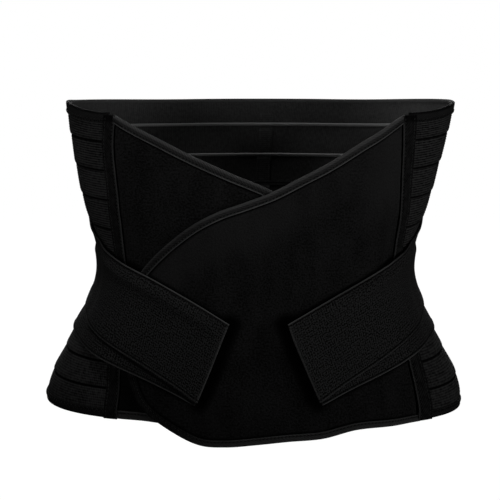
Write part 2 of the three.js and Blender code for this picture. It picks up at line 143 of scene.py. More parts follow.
# Cloth folded round an edge: where its points lie, from the free edge of a leg, and where it is sewn.
FOLD_STATIONS = (0, 0.08, 0.22, 0.45, 0.75, 1.05, 1.4, 1.75, 2.1, 2.6)
FOLD_PLAIN = 3.3  # from here on its points are evenly spaced
FOLD_PLAIN_POINTS = 6
FOLD_TURN_POINTS = 11  # round the fold
FOLD_LIP = 0.7  # how far a leg's free edge is rounded, as a share of the thickness
FOLD_SEAM = {"place": 1.8, "width": 0.42}
FOLD_SEAM_SHADE = {"height": 0.85, "place": 1.9, "width": 0.5}
FOLD_ROOM = 0.06  # between it and what it is folded round
FOLD_THINNEST = 0.1
FOLD_OUTSIDE = -0.6  # share of the way aside to which it is marked as the outer leg
# Its marks, by the depth from the fold: painted highlights at the fold and at the free edges, paler on the inner leg,
# and darker at the fold, where painted shade is added to a hem's own darker tone.
FOLD_PALE = {"fold": 0.6, "fold_depth": (0.2, 1.2), "lips": (1.2, 0.8), "leg": (0.6, 1), "leg_depth": (-0.6, 0.1)}
FOLD_DARK = {"fold": (1.8, 1), "depth": (0.1, 0.9)}

# Hems folded round the elastic's upper and lower edges.
HEM_FOLD = {"thickness": 0.7, "end": 1.15, "crown": 0.15, "groove": 0.2}
HEM_ROOM = 0.25  # between it and the band
HEM_POINTS = 280  # round the back
# a hem's marks: a paler face, highlights at its edges, a paler inner leg, and its outer leg's own darker tone, with
# painted shade at the fold
HEM_MARKS = {"pale": 0.2, "lips": 0.2, "inside": 1, "dark": 0.45}
TOP_HEM_HEIGHT = 8.5
TOP_HEM_INSIDE = 0.2  # depth of its inner leg, as a share of the outer one's
BOTTOM_HEM_HEIGHT = 6
HEM_START = 0.006  # share of the way round the back that stays bare at each end, under the side tapes
HEM_STITCH_START = 0.002  # share of the way from there to the first stitch
HEM_STITCH = {"slant": math.radians(52), "spacing": 0.0024, "length": 0.0036, "thickness": 0.0008}  # in metres
HEM_STITCH_INSET = 2.2
HEM_STITCH_OUT = 1.68  # from the band's middle
HEM_STITCH_POINTS = 300

# Tapes over the two side seams, and over the strap ends at the spine.
TAPE_WIDTH = 12.5  # of a side tape, as it is cut
TAPE_WIDTHS = table("z left right", [
    (-140, 12.2, 14.6),
    (-70, 12, 14.6),
    (-10, 13, 13),
    (45, 13, 11.4),
    (75, 11.7, 11.2),
    (100, 11.6, 11.6),
    (125, 11.4, 13.4),
])
TAPE_TUCK_DEG = 0.4  # how far behind the seam a side tape's front edge lies
TAPE_THICKNESS = 1.1
TAPE_STEP = (2.0, 0.4)  # from point to point along and across a tape
TAPE_BEAD = {"height": 0.25, "place": 0.8, "width": 0.6}
TAPE_GROOVE = {"height": 0.4, "place": 2.1, "width": 0.45}  # where it is sewn
TAPE_GROOVE_SHADE = {"height": 0.85, "place": 2.1, "width": 0.55}
# painted highlight along a tape's marked edges
TAPE_PALE = {"share": 0.4, "start": 0.7, "end": 1.1}
TAPE_TOP_SHADE = {"share": 0.75, "start": 6.5, "end": 4}  # how dark it is at its upper end, by the distance from it
TAPE_STITCH = {"margin": 0.012, "points": 160, "sunk": 0.25}
TAPE_LENGTH = 245  # about, for its unevenness
CURVE_SHARE = 1.03  # length along the body's curves for each millimetre of height
# How far out a side tape lies, over the bands and over the lower hem.
TAPE_OUT = {"bands": 2.6, "hem": 3.6, "hem_z": -102, "bands_z": -90}
TAPE_TOP_Z = 136
TAPE_BOTTOM_Z = {"left": -109.5, "right": -113.5}
SPINE_ANGLE = 176.6
SPINE_TAPE = {"width": 22, "top": 136, "bottom": -109.5, "edge_dip": 0.7, "edge": (0.3, 0.5)}
SPINE_TAPE_OUT = table("z out", [
    (-120, 3.5), (-108.5, 3.5), (-105, 2.4), (-50, 2.4), (-46.5, 4.6), (86.5, 4.6), (90, 2.4), (120, 2.4),
    (125, 2.7), (140, 2.7),
])
SPINE_CHANNEL = {"width": 12, "thickness": 0.4, "top": 126, "bottom": -101, "clear": 0.1, "relief": 0.3}

# Front panels. Each row is a line across the panel, from its lower edge to its upper edge. Shares run from -1 at
# the left seam, through 0 at the front centre, to 1 at the right seam.
PANEL_THICKNESS = 2
PANEL_OUT = 0.9  # from the skin
OVERLAP_LIFT = 4.8  # how much further out the over panel lies
LIFT_RAMP_DEG = {"start": 0.5, "end": 10}  # where it rises to that, from its seam
PANEL_COLUMNS = "top_share top_z bottom_share bottom_z"
OVER_PANEL = table(PANEL_COLUMNS, [
    (1.025, 135.5, 1.025, -113),
    (0.784, 118.8, 0.83, -113.8),
    (0.524, 99.3, 0.64, -115),
    (0.317, 86.8, 0.44, -121),
    (0.111, 75.3, 0.22, -123),
    (-0.1, 67.1, -0.01, -125.7),
    (-0.3, 59.7, -0.22, -127.3),
    (-0.49, 48.6, -0.42, -125.8),
    (-0.665, 32.5, -0.62, -115.2),
    (-0.8, 16.3, -0.808, -99),
    (-0.875, 3.5, -0.91, -80),
    (-0.915, -13, -0.955, -58),
])
UNDER_PANEL = table(PANEL_COLUMNS, [
    (-1.025, 135.5, -1.025, -108),
    (-0.785, 120.1, -0.81, -108.4),
    (-0.52, 104.4, -0.61, -111),
    (-0.224, 90.5, -0.39, -115.5),
    (0.08, 77.8, -0.16, -119),
    (0.3, 63, 0.08, -118.5),
    (0.5, 47, 0.32, -114.5),
    (0.66, 28, 0.54, -104),
    (0.77, 6, 0.7, -86),
    (0.81, -16, 0.8, -58),
])
# Lines of a panel's mesh: close together beside the seam and along the two edges.
PANEL_LINES = {"seam_row": 0.45, "seam": 46, "row": 12, "edge_share": 0.05, "edge": 20, "middle": 90}
MEASURED_LINE = 55  # the line that the cloth's own length is measured along
# The over panel's pile is painted paler below its binding and beside its seam, as painted light. Below the binding
# it is painted less pale towards the right.
PAINTED_PANEL_LIGHT = {
    "paler": 3.2,
    "edge": 0.33, "edge_depth": (25, 50), "right": 0.4, "right_angle": (5, 22),
    "seam": 0.46, "seam_angle": (36, 50), "seam_z": (30, 85),
}
# How dark the under panel's lower corner lies, behind the strap and the over panel.
CORNER_SHADE = {"share": 0.55, "below": (60, 78), "angle": (35, 43)}
SEAM_GAP = {"height": 1.3, "place": -0.7, "width": 0.7}  # where the panel is drawn in beside the side tape
SEAM_GAP_SHADE = 0.97
SEWN_IN = {"height": 1, "place": 0.5, "width": 1}  # where it is drawn in beside its binding
SEWN_IN_DEPTH = 0.7
SEWN_IN_SHADE = 0.95
# How dark the painted shadow is beside the straps' edges and in front of their ends, and where that starts and ends to
# fade.
STRAP_SHADOW = {"upper_edge": (0.8, 0.6, 2.4), "lower_edge": (0.85, 0.8, 4.2), "end": (0.96, 3.5, 12.0)}
STRAP_SHADOW_TO_ANGLE = 62
STRAP_SHADOW_POINTS = {"edge": 80, "end": 50}

# Binding folded round the panels' free edges.
BINDING_WIDTH = 5.5
BINDING_FOLD = {"thickness": 0.6, "end": 1.2, "crown": 0.45, "groove": 0.4}
BINDING_TURN = {"share": 0.13, "start": 60, "end": 95}  # how much less shows along the over panel's lower edge
BINDING_ROWS = {"first": 0.03, "second": 0.3, "lines": 14, "across": 40}  # the first is under the side tape
BINDING_PASSES = 4  # that smooth the binding's way round the corners
BINDING_STITCH = {"inset": 1.8, "sunk": 0.1, "margin": 2}  # the margin is counted in points of the edge
# How pale it is painted above and below on its face and its lips, the lips as highlights, and how much less pale it is
# under the straps, as painted shade.
BINDING_PALE = {
    "face": (0.2, 0.36), "lips": (1, 0.55), "below": (60, 90), "inside": 0.12,
    "covered": (0.5, 1), "covered_below": (20, 50), "covered_angle": (12, 30),
}

# Straps, from the slanting front end to the spine, in degrees from the front centre on either side.
STRAP_THICKNESS = 1.3
STRAP_LAYER = 2.1  # the upper strap lies this much further out than the lower one
STRAP_STEP = (1.8, 0.6)  # from point to point along and across a strap
STRAP_TIP = 26  # length of the front end that stands off the panel
# A soft fold under the upper strap's upper edge, in front.
STRAP_BULGE = {"height": 2.6, "place": 10.5, "above": 7, "below": 4.5, "start": (0, 25), "end": (100, 150)}
STRAP_BEAD = {"height": 0.35, "place": 0.7, "width": 0.5}
STRAP_GROOVE = {"height": 0.3, "place": 1.9, "width": 0.5}
STRAP_GROOVE_SHADE = {"height": 0.85, "place": 1.9, "width": 0.55}
STRAP_BACK_BEAD = {"height": 0.15, "place": 0.9, "width": 0.7}
STRAP_HEM = {"height": 0.35, "start": (0, 0.8), "end": (4.6, 5.6)}  # folded under at the front end
STRAP_HEM_SEAM = {"height": 0.4, "place": 3.4, "width": 0.5}
# How pale its edges are painted as highlights, the lower edge of the lower strap and of the upper one apart, and where
# that fades.
STRAP_PALE = {
    "upper": 0.9, "lower": (0.7, 0.3), "edge": (0.5, 0.9), "front": 0.4, "front_edge": (0.6, 1.1),
    "fade": 0.8, "fade_length": (80, 125),
}
UPPER_STRAP_SHADOW = {"share": 0.85, "place": 0.4, "fade": (0.4, 1.8)}  # painted shadow on the lower one along the upper one's edge
STRAP_STITCH = {"margin": 0.03, "start": 5, "end": 62, "inset": 3, "sunk": 0.02, "points": 60}
STRAP_MEASURED = {"place": 0.3, "points": 20}  # where a strap's width is measured, as a share of its length
LAYER_DROP = {"start": 0.5, "end": 8}  # above the lower strap, where the upper one drops to the bands
# How far the straps are shifted round to the right in front, and to the spine at the back.
FRONT_SHIFT = {"angle": 1.45, "start": 40, "end": 62}
SPINE_SHIFT = {"angle": SPINE_ANGLE - 180, "start": 100, "end": 178}
STRAP_COLUMNS = "top_angle top_z bottom_angle bottom_z"
UPPER_STRAP = table(STRAP_COLUMNS, [
    (11.5, -30.6, 22.1, -93),
    (28.7, -10.5, 34.5, -75.5),
    (45.5, 7.7, 47, -59.8),
    (57.6, 18.9, 59, -47.5),
    (66, 25.2, 67, -40.5),
    (74, 31.8, 74.5, -34),
    (93, 45, 93, -21),
    (128, 76, 128, 9),
    (178, 86, 178, 24),
])
LOWER_STRAP = table(STRAP_COLUMNS, [
    (13, -32.5, 23, -95),
    (30, -15, 36, -81.5),
    (46, -2, 47.5, -71.2),
    (55.5, 6.5, 57.5, -63.3),
    (68, 13, 68, -55.3),
    (78, 16, 78, -50.8),
    (93, 18, 93, -47.5),
    (128, 16, 128, -46),
    (178, 14, 178, -46),
])
STRAP_OUT = table("angle out", [
    (0, 11.2), (14, 10.8), (24, 10.4), (40, 9.7), (51.5, 9.5), (60, 7.3), (66, 5.4), (72, 3.3), (110, 3.1),
    (140, 3.1), (180, 3.1),
])

# Hook fasteners behind the strap ends and behind the over panel's free end.
HOOK_THICKNESS = 1.1
HOOK_STEP = (1.5, 1.5)
STRAP_HOOK = {"size": (27, 50), "from_angle": 15.5, "to_angle": 26, "margin": 0.14, "out": 8.3}
CLOSURE_HOOK = {"size": (36, 78), "from_share": -0.8, "to_share": -0.46, "bottom_z": -78, "top_z": 0, "out": 3.8}

# Unevenness of the cloths: its height, about how long its waves are, and the seed that they are drawn from.
RIPPLE_WAVES = 5
RIPPLE_SPREAD = (0.7, 1.5)  # of the waves' lengths
EDGE_WANDER = {"height": 0.25, "length": 60, "seed": 0}
BAND_RIPPLE = {"height": 0.12, "length": 35, "seed": 40}
TAPE_RIPPLE = {"height": 0.2, "length": 28, "seed": 70}
STRAP_RIPPLE = {"height": 0.25, "length": 45, "seed": 20}
PANEL_RIPPLES = ({"height": 0.35, "length": 70, "seed": 0}, {"height": 0.15, "length": 26, "seed": 1})
PANEL_SEEDS = {"under": 5, "over": 9}
FRONT_DEGREE = 1.9  # about the length of a degree round the front

# Rounded edges of every cloth.
THINNEST_EDGE = 0.3  # share of the thickness
EDGE_STATIONS = (0, 0.08, 0.3, 0.62)  # where the points in a rounded edge lie, as shares of its radius

# Camera at the photograph's viewing angle, in metres, with its lens and sensor in millimetres.
CAMERA_PLACE = (-0.0044, -2.3795, 0.3286)
CAMERA_PITCH = math.radians(82.5)
CAMERA_LENS = 205.7
CAMERA_SENSOR = 36
CAMERA_REACH = 200
# Lamps, in metres and watts: each with its place, what it is aimed at, its size or its beam in degrees, and its power.
SOFTBOXES = (
    ("overhead_softbox", (-0.67, 0, 2.56), (0, 0, 0), 0.7, 21.5),
    ("left_softbox", (-2.51, -0.67, 0.14), (0, 0, 0), 0.7, 1),
    ("right_softbox", (2.35, -1.0, 0.14), (0, 0, 0), 0.7, 16),
    ("rear_softbox", (0, 2.6, 1.0), (0, 0, 0), 1.8, 42),
)
SPOTS = (
    ("front_left_spot", (-1.84, -1.84, 0.14), (0, 0, 0.2), 15.5, 101),
    ("front_spot", (-0.67, -2.51, 0.14), (0, 0, 0.2), 15.5, 33),
    ("front_right_spot", (1.84, -1.84, 0.14), (0, 0, 0.11), 13, 77),
    ("upper_spot", (0.67, -2.51, 0.14), (0, 0, 0.12), 9.7, 42),
)
SPOT_RADIUS = 0.25
FLOOR_Z = -0.33
FLOOR_HALF = 30.0
FLOOR_COLOUR = "#282828"  # for the light that it throws back, where a camera ray sees white
SKY_LIGHT = 0.005  # strength of the world's light on the wrap, where a camera ray sees white


# The body's chart

def smooth(along, column, at):
    """A smooth curve through a table's column, read at places along another column."""
    at = np.clip(at, along[0], along[-1])
    last = len(along) - 1
    rows = np.arange(len(along))
    low, high = np.maximum(rows - 1, 0), np.minimum(rows + 1, last)
    slope = (column[high] - column[low]) / (along[high] - along[low])
    k = np.clip(np.searchsorted(along, at), 1, last)
    span = along[k] - along[k - 1]
    t = (at - along[k - 1]) / span
    rise = column[k] - column[k - 1]
    bend = (slope[k - 1] * span - rise) * (1 - t) + (rise - slope[k] * span) * t
    return column[k - 1] + t * rise + t * (1 - t) * bend


def ease(value, start, end):
    """A smooth step from 0 at the start to 1 at the end."""
    t = np.clip((value - start) / (end - start), 0, 1)
    return t * t * (3 - 2 * t)


def mix(a, b, t):
    return a + (b - a) * t


def ridge(form, distance):
    """A rounded ridge of a form's height at its place, which falls away over its width to either side."""
    return form["height"] * np.exp(-((distance - form["place"]) / form["width"]) ** 2)


def skin(angle, z):
    """Points of the skin at angles from the front centre and heights."""
    angle, z = np.broadcast_arrays(np.asarray(angle, float), np.asarray(z, float))
    sine, cosine = np.sin(np.radians(angle)), np.cos(np.radians(angle))
    half_width = smooth(BODY["z"], BODY["half_width"], z)
    front, back = smooth(BODY["z"], BODY["front"], z), smooth(BODY["z"], BODY["back"], z)
    half_depth = np.where(cosine > 0, front, back)
    radius = (np.abs(sine / half_width) ** ROUNDNESS + np.abs(cosine / half_depth) ** ROUNDNESS) ** (-1 / ROUNDNESS)
    sway = smooth(BODY["z"], BODY["sway"], z)
    return np.stack([sway + radius * sine, -radius * cosine, z], axis=-1)


def directions(angle, z):
    """The skin's way for a degree round and for a millimetre up, and its normal."""
    probe = 0.5
    around = (skin(angle + probe, z) - skin(angle - probe, z)) / (2 * probe)
    up = (skin(angle, z + probe) - skin(angle, z - probe)) / (2 * probe)
    normal = np.cross(around, up)
    return around, up, normal / np.linalg.norm(normal, axis=-1, keepdims=True)


def on_body(angle, z, out):
    """Points at a distance out from the skin."""
    angle, z, out = np.broadcast_arrays(angle, z, out)
    return skin(angle, z) + directions(angle, z)[2] * out[..., None]


def degrees_for(millimetres, angle, z):
    """The angle that a length round the skin takes up."""
    return millimetres / np.linalg.norm(directions(angle, z)[0], axis=-1)


def spans(points):
    """The distances from each point of a line to the next."""
    return np.linalg.norm(np.diff(points, axis=0), axis=-1)


def lengths(points):
    """The lengths along a line to each of its points."""
    return np.concatenate([[0], np.cumsum(spans(points))])


def left_seam(z):
    return smooth(SEAMS["z"], SEAMS["left"], z)


def right_seam(z):
    return smooth(SEAMS["z"], SEAMS["right"], z)


def share_angle(share, z):
    """The angle at a share of the way to a seam. Near the seam, it follows the place that the tape pulls it to."""
    left, right = (smooth(CUT_SEAMS["z"], CUT_SEAMS[side], z) for side in ("left", "right"))
    pull = np.where(share < 0, left - left_seam(z), right_seam(z) - right)
    return share * np.where(share < 0, left, right) + pull * ease(np.abs(share), SEAM_PULL_SHARE, 1)


def ripple(form, along, across, number=0):
    """A gentle unevenness over a cloth, with a form's height and length. The number sets like pieces apart."""
    draw = np.random.default_rng(form["seed"] + number)
    total = 0
    for _ in range(RIPPLE_WAVES):
        turn = draw.uniform(0, math.tau)
        phase = draw.uniform(0, math.tau)
        wave = math.tau / (form["length"] * draw.uniform(*RIPPLE_SPREAD))
        total = total + np.sin((along * math.cos(turn) + across * math.sin(turn)) * wave + phase)
    return form["height"] * (total / RIPPLE_WAVES)


# Meshes

def rounded(distance, radius):
    """The share of a cloth's full thickness at a distance from its edge, which is rounded to a radius."""
    near = np.clip(distance / radius, 0, 1)
    return np.maximum(np.sqrt(1 - (1 - near) ** 2), THINNEST_EDGE)


def stations(length, step, radius):
    """Distances along a length, closer together in its rounded ends."""
    ends = radius * np.array(EDGE_STATIONS)
    count = max(2, round((length - 2 * radius) / step) + 1)
    return np.concatenate([ends, np.linspace(radius, length - radius, count), length - ends[::-1]])


def shell(name, outer, inner, along, across, **marks):
    """A closed mesh between two grids of points, with a map of the cloth's own length and width in metres.

    Each mark is a named value for every point of the outer face, with 0 on the inner face, or a pair for both faces.
    """
    count = outer.shape[0] * outer.shape[1]
    points = np.concatenate([outer.reshape(-1, 3), inner.reshape(-1, 3)]) * MM
    grid = np.arange(count).reshape(outer.shape[:2])
    ring = np.concatenate([grid[:-1, 0], grid[-1, :-1], grid[:0:-1, -1], grid[0, :0:-1]])
    following = np.roll(ring, -1)
    face = np.stack([grid[:-1, :-1], grid[1:, :-1], grid[1:, 1:], grid[:-1, 1:]], axis=-1).reshape(-1, 4)
    side = np.stack([following, ring, ring + count, following + count], axis=-1)
    quads = np.concatenate([face, face[:, ::-1] + count, side])
    a, b, c, d = (points[quads[:, k]] for k in range(4))
    volume = (a * np.cross(b, c)).sum() + (a * np.cross(c, d)).sum()
    if volume < 0:
        quads = quads[:, ::-1]
    mesh = bpy.data.meshes.new(name)
    mesh.from_pydata(points.tolist(), [], quads.tolist())
    along, across = np.broadcast_arrays(along, across)
    place = np.stack([along.ravel(), across.ravel()], axis=-1) * MM
    mesh.uv_layers.new(name="cloth").data.foreach_set("uv", np.concatenate([place, place])[quads.ravel()].ravel())
    for mark, values in marks.items():
        faces = values if isinstance(values, tuple) else (values, 0 * values)
        faces = [np.broadcast_to(face, outer.shape[:2]).ravel() for face in faces]
        attribute = mesh.attributes.new(mark, "FLOAT", "POINT")
        attribute.data.foreach_set("value", np.concatenate(faces).astype(np.float32))
    mesh.shade_smooth()
    return mesh


def cloth(name, size, step, thickness, place, relief=None, **marks):
    """A closed mesh of a cloth that lies on the body, with rounded edges.

    place gives the angle, height and distance out of its inner face at shares of its length and width. relief gives
    how much the outer and the inner face stand out there, at distances along and across.
    """
    along = stations(size[0], step[0], thickness / 2)[:, None]
    across = stations(size[1], step[1], thickness / 2)[None, :]
    angle, z, out = place(along / size[0], across / size[1])
    edge = np.minimum(np.minimum(along, size[0] - along), np.minimum(across, size[1] - across))
    half = thickness / 2 * rounded(edge, thickness / 2)
    outer, inner = out + thickness / 2 + half, out + thickness / 2 - half
    if relief:
        proud, sunk = relief(along, across)
        outer, inner = outer + proud, inner - sunk
    marks = {mark: values(along, across) for mark, values in marks.items()}
    return shell(name, on_body(angle, z, outer), on_body(angle, z, inner), along, across, **marks)


def path_mesh(name, paths):
    """A mesh of open paths, with the way out of the cloth at each point. A path is its points and those ways."""
    points = np.concatenate([path for path, _ in paths]) * MM
    outward = np.concatenate([ways for _, ways in paths])
    edges, start = [], 0
    for path, _ in paths:
        edges += [(start + k, start + k + 1) for k in range(len(path) - 1)]
        start += len(path)
    mesh = bpy.data.meshes.new(name)
    mesh.from_pydata(points.tolist(), edges, [])
    attribute = mesh.attributes.new("outward", "FLOAT_VECTOR", "POINT")
    attribute.data.foreach_set("vector", outward.astype(np.float32).ravel())
    return mesh


def fold_section(width, core, fold, inner_share=1):
    """Depths from the edge and distances aside of a cloth that is folded round an edge.

    core is half the thickness that it is folded round, and the stitching pulls it in by the fold's groove.
    inner_share is the depth of the inner leg as a share of the outer one's.
    """
    thickness, end = fold["thickness"], fold["end"]
    legs = np.concatenate([width - np.array(FOLD_STATIONS), np.linspace(width - FOLD_PLAIN, 0, FOLD_PLAIN_POINTS)])
    bulge = fold["crown"] * (1 - (legs / width) ** 2)
    pull = ridge({**FOLD_SEAM, "height": fold["groove"]}, width - legs)
    near = core + FOLD_ROOM + bulge - np.minimum(pull, bulge + FOLD_ROOM / 2)
    lip = thickness * rounded(width - legs, thickness * FOLD_LIP)
    far = np.maximum(near + lip - pull / 2, near + FOLD_THINNEST)
    turns = np.linspace(0, math.pi, FOLD_TURN_POINTS)[1:-1]
    outer_depth = np.concatenate([legs, -end * np.sin(turns), inner_share * legs[::-1]])
    inner_depth = np.concatenate([legs, -(end - thickness) * np.sin(turns), inner_share * legs[::-1]])
    outer_aside = np.concatenate([far, far[-1] * np.cos(turns), -far[::-1]])
    inner_aside = np.concatenate([near, near[-1] * np.cos(turns), -near[::-1]])
    return outer_depth, outer_aside, inner_depth, inner_aside


def folded(name, point, length, section, pale, lips, inside, dark):
    """A closed mesh of a cloth folded round an edge. point gives the places at depths from the edge and aside.

    pale, lips and inside are how much its face, its edges and its inner leg are marked as paler than a tape, the edges
    as painted highlights, and dark is how much its outer leg is marked as darker: a hem's own darker tone, with
    painted shade added at the fold.
    """
    outer_depth, outer_aside, inner_depth, inner_aside = section
    width = outer_depth.max()
    outside = outer_aside > FOLD_OUTSIDE * outer_aside.max()
    at_fold = FOLD_PALE["fold"] * (1 - ease(outer_depth, *FOLD_PALE["fold_depth"]))
    at_lips = ease(outer_depth, *(width - from_lip for from_lip in FOLD_PALE["lips"]))
    leg = inside * mix(*FOLD_PALE["leg"], ease(outer_depth, *FOLD_PALE["leg_depth"]))
    paler = np.where(outside, mix(pale, lips, np.maximum(at_fold, at_lips)), leg) + 0 * length[:, None]
    darker_fold = dark * mix(*FOLD_DARK["fold"], ease(outer_depth, *FOLD_DARK["depth"]))
    # painted shade along the stitched groove and at a hem's fold, over a hem's own darker tone
    sewn = outside * mix(darker_fold, 1, ridge(FOLD_SEAM_SHADE, width - outer_depth))
    across = np.concatenate([[0], np.cumsum(np.hypot(np.diff(outer_depth), np.diff(outer_aside)))])
    outer, inner = point(outer_depth, outer_aside), point(inner_depth, inner_aside)
    return shell(name, outer, inner, length[:, None], across[None, :], selvedge=paler, crease=sewn[None, :])


# Node trees

def node(tree, kind, sockets=None, stops=(), **settings):
    """Adds a node with its settings, and gives its sockets values or links them to other nodes' sockets.

    stops are the places and colours of a colour ramp's two ends.
    """
    made = tree.nodes.new(kind)
    for key, value in settings.items():
        setattr(made, key, value)
    for key, value in (sockets or {}).items():
        if isinstance(value, bpy.types.NodeSocket):
            tree.links.new(value, made.inputs[key])
        else:
            made.inputs[key].default_value = value
    for k, (position, colour) in enumerate(stops):
        made.color_ramp.elements[k].position = position
        made.color_ramp.elements[k].color = colour
    return made


def linear(colour):
    """The linear colour of an sRGB hex value."""
    channels = [int(colour[k:k + 2], 16) / 255 for k in (1, 3, 5)]
    return [c / 12.92 if c <= 0.04045 else ((c + 0.055) / 1.055) ** 2.4 for c in channels]


def shape_tree(name, inputs):
    """An empty Geometry Nodes tree with named inputs, its input node and its geometry's output socket."""
    tree = bpy.data.node_groups.new(name, "GeometryNodeTree")
    tree.interface.new_socket("Geometry", in_out="INPUT", socket_type="NodeSocketGeometry")
    for label, kind in inputs:
        tree.interface.new_socket(label, in_out="INPUT", socket_type=kind)
    tree.interface.new_socket("Geometry", in_out="OUTPUT", socket_type="NodeSocketGeometry")
    return tree, tree.nodes.new("NodeGroupInput").outputs


def finish_tree(tree, geometry, material):
    """Ends a tree in plain faces with their material."""
    real = node(tree, "GeometryNodeRealizeInstances", {"Geometry": geometry})
    coloured = node(tree, "GeometryNodeSetMaterial", {"Geometry": real.outputs[0], "Material": material})
    node(tree, "NodeGroupOutput", {"Geometry": coloured.outputs[0]})
    return tree


def rib_tree():
    """Raises the ribs of an elastic band along its length, from the marks on its mesh."""
    tree, given = shape_tree("elastic_ribs", [
        ("Pitch", "NodeSocketFloat"), ("Depth", "NodeSocketFloat"), ("Material", "NodeSocketMaterial"),
    ])
    across = node(tree, "GeometryNodeInputNamedAttribute", {"Name": "rib_place"}, data_type="FLOAT")
    share = node(tree, "GeometryNodeInputNamedAttribute", {"Name": "rib_share"}, data_type="FLOAT")
    count = node(tree, "ShaderNodeMath", {0: across.outputs["Attribute"], 1: given["Pitch"]}, operation="DIVIDE")
    turn = node(tree, "ShaderNodeMath", {0: count.outputs[0], 1: math.pi}, operation="MULTIPLY")
    wave = node(tree, "ShaderNodeMath", {0: turn.outputs[0]}, operation="SINE")
    rib = node(tree, "ShaderNodeMath", {0: wave.outputs[0]}, operation="ABSOLUTE")
    height = node(tree, "ShaderNodeMath", {0: rib.outputs[0], 1: given["Depth"]}, operation="MULTIPLY")
    shown = node(tree, "ShaderNodeMath", {0: height.outputs[0], 1: share.outputs["Attribute"]}, operation="MULTIPLY")
    normal = node(tree, "GeometryNodeInputNormal")
    offset = node(tree, "ShaderNodeVectorMath", {0: normal.outputs[0], "Scale": shown.outputs[0]}, operation="SCALE")
    ribbed = node(tree, "GeometryNodeSetPosition", {"Geometry": given["Geometry"], "Offset": offset.outputs[0]})
    return finish_tree(tree, ribbed.outputs[0], given["Material"])


def stitch_tree():
    """Lays stitches along paths, each turned to its path and to the way out of the cloth, and slanted in turn."""
    tree, given = shape_tree("stitches", [
        ("Spacing", "NodeSocketFloat"), ("Length", "NodeSocketFloat"), ("Thickness", "NodeSocketFloat"),
        ("Slant", "NodeSocketFloat"), ("Material", "NodeSocketMaterial"),
    ])
    line = node(tree, "GeometryNodeMeshToCurve", {"Mesh": given["Geometry"]})
    places = node(tree, "GeometryNodeResampleCurve", {"Curve": line.outputs[0], "Length": given["Spacing"]},
                  mode="LENGTH")
    tangent = node(tree, "GeometryNodeInputTangent")
    outward = node(tree, "GeometryNodeInputNamedAttribute", {"Name": "outward"}, data_type="FLOAT_VECTOR")
    along = node(tree, "FunctionNodeAlignRotationToVector", {"Vector": tangent.outputs[0]}, axis="X")
    upright = node(tree, "FunctionNodeAlignRotationToVector", {
        "Rotation": along.outputs[0], "Vector": outward.outputs["Attribute"]}, axis="Z", pivot_axis="X")
    index = node(tree, "GeometryNodeInputIndex")
    parity = node(tree, "ShaderNodeMath", {0: index.outputs[0], 1: 2.0}, operation="MODULO")
    sign = node(tree, "ShaderNodeMath", {0: parity.outputs[0], 1: 2.0, 2: -1.0}, operation="MULTIPLY_ADD")
    slant = node(tree, "ShaderNodeMath", {0: sign.outputs[0], 1: given["Slant"]}, operation="MULTIPLY")
    turn = node(tree, "FunctionNodeAxisAngleToRotation", {"Axis": (0, 0, 1), "Angle": slant.outputs[0]})
    turned = node(tree, "FunctionNodeRotateRotation", {
        "Rotation": upright.outputs[0], "Rotate By": turn.outputs[0]}, rotation_space="LOCAL")
    size = node(tree, "ShaderNodeCombineXYZ", {"X": given["Length"], "Y": given["Thickness"], "Z": given["Thickness"]})
    thread = node(tree, "GeometryNodeMeshUVSphere", {"Segments": 6, "Rings": 5, "Radius": 0.5})
    laid = node(tree, "GeometryNodeInstanceOnPoints", {
        "Points": places.outputs[0], "Instance": thread.outputs["Mesh"],
        "Rotation": turned.outputs[0], "Scale": size.outputs[0]})
    soft = node(tree, "GeometryNodeSetShadeSmooth", {"Geometry": laid.outputs[0]})
    return finish_tree(tree, soft.outputs[0], given["Material"])


def grow(piece, tree, values):
    """Runs a tree on a piece and keeps the result as the piece's plain mesh."""
    modifier = piece.modifiers.new(tree.name, "NODES")
    modifier.node_group = tree
    for socket in tree.interface.items_tree:
        if socket.in_out == "INPUT" and socket.name in values:
            modifier[socket.identifier] = values[socket.name]
    made = bpy.data.meshes.new_from_object(piece.evaluated_get(bpy.context.evaluated_depsgraph_get()))
    plain = piece.data
    piece.modifiers.remove(modifier)
    piece.data = made
    bpy.data.meshes.remove(plain)
    made.name = piece.name


def tree_named(name, build):
    """A tree, which is built the first time that it is asked for."""
    return bpy.data.node_groups.get(name) or build()


def add_piece(mesh, finish, nodes=(), tree=None, values=None):
    """Adds a mesh to the wrap as a piece that stands for its CAD nodes. finish is the function of its material."""
    piece = bpy.data.objects.new(mesh.name, mesh)
    bpy.context.scene.collection.objects.link(piece)
    material = material_of(finish)
    if tree:
        grow(piece, tree, {**values, "Material": material})
    piece.data.materials.clear()
    piece.data.materials.append(material)
    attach(piece, "root")
    if nodes:
        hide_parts(*nodes)
    return piece


# Materials

WAVE_TURN = math.pi / 10  # length of one band of a Wave Texture at scale 1


def material_of(finish):
    """The material that a finish's function builds, which is built once and named for the function.

    The function gets the material's tree, its shader, a socket with the cloth's own length and width, and the colours.
    """
    name = finish.__name__
    if name not in bpy.data.materials:
        material = bpy.data.materials.new(name)
        material.use_nodes = True
        tree = material.node_tree
        tree.nodes.clear()
        shader = node(tree, "ShaderNodeBsdfPrincipled")
        node(tree, "ShaderNodeOutputMaterial", {"Surface": shader.outputs[0]})
        place = node(tree, "ShaderNodeUVMap", uv_map="cloth")
        finish(tree, shader, place.outputs[0], bpy.context.scene.belly_wrap_looks)
    return bpy.data.materials[name]


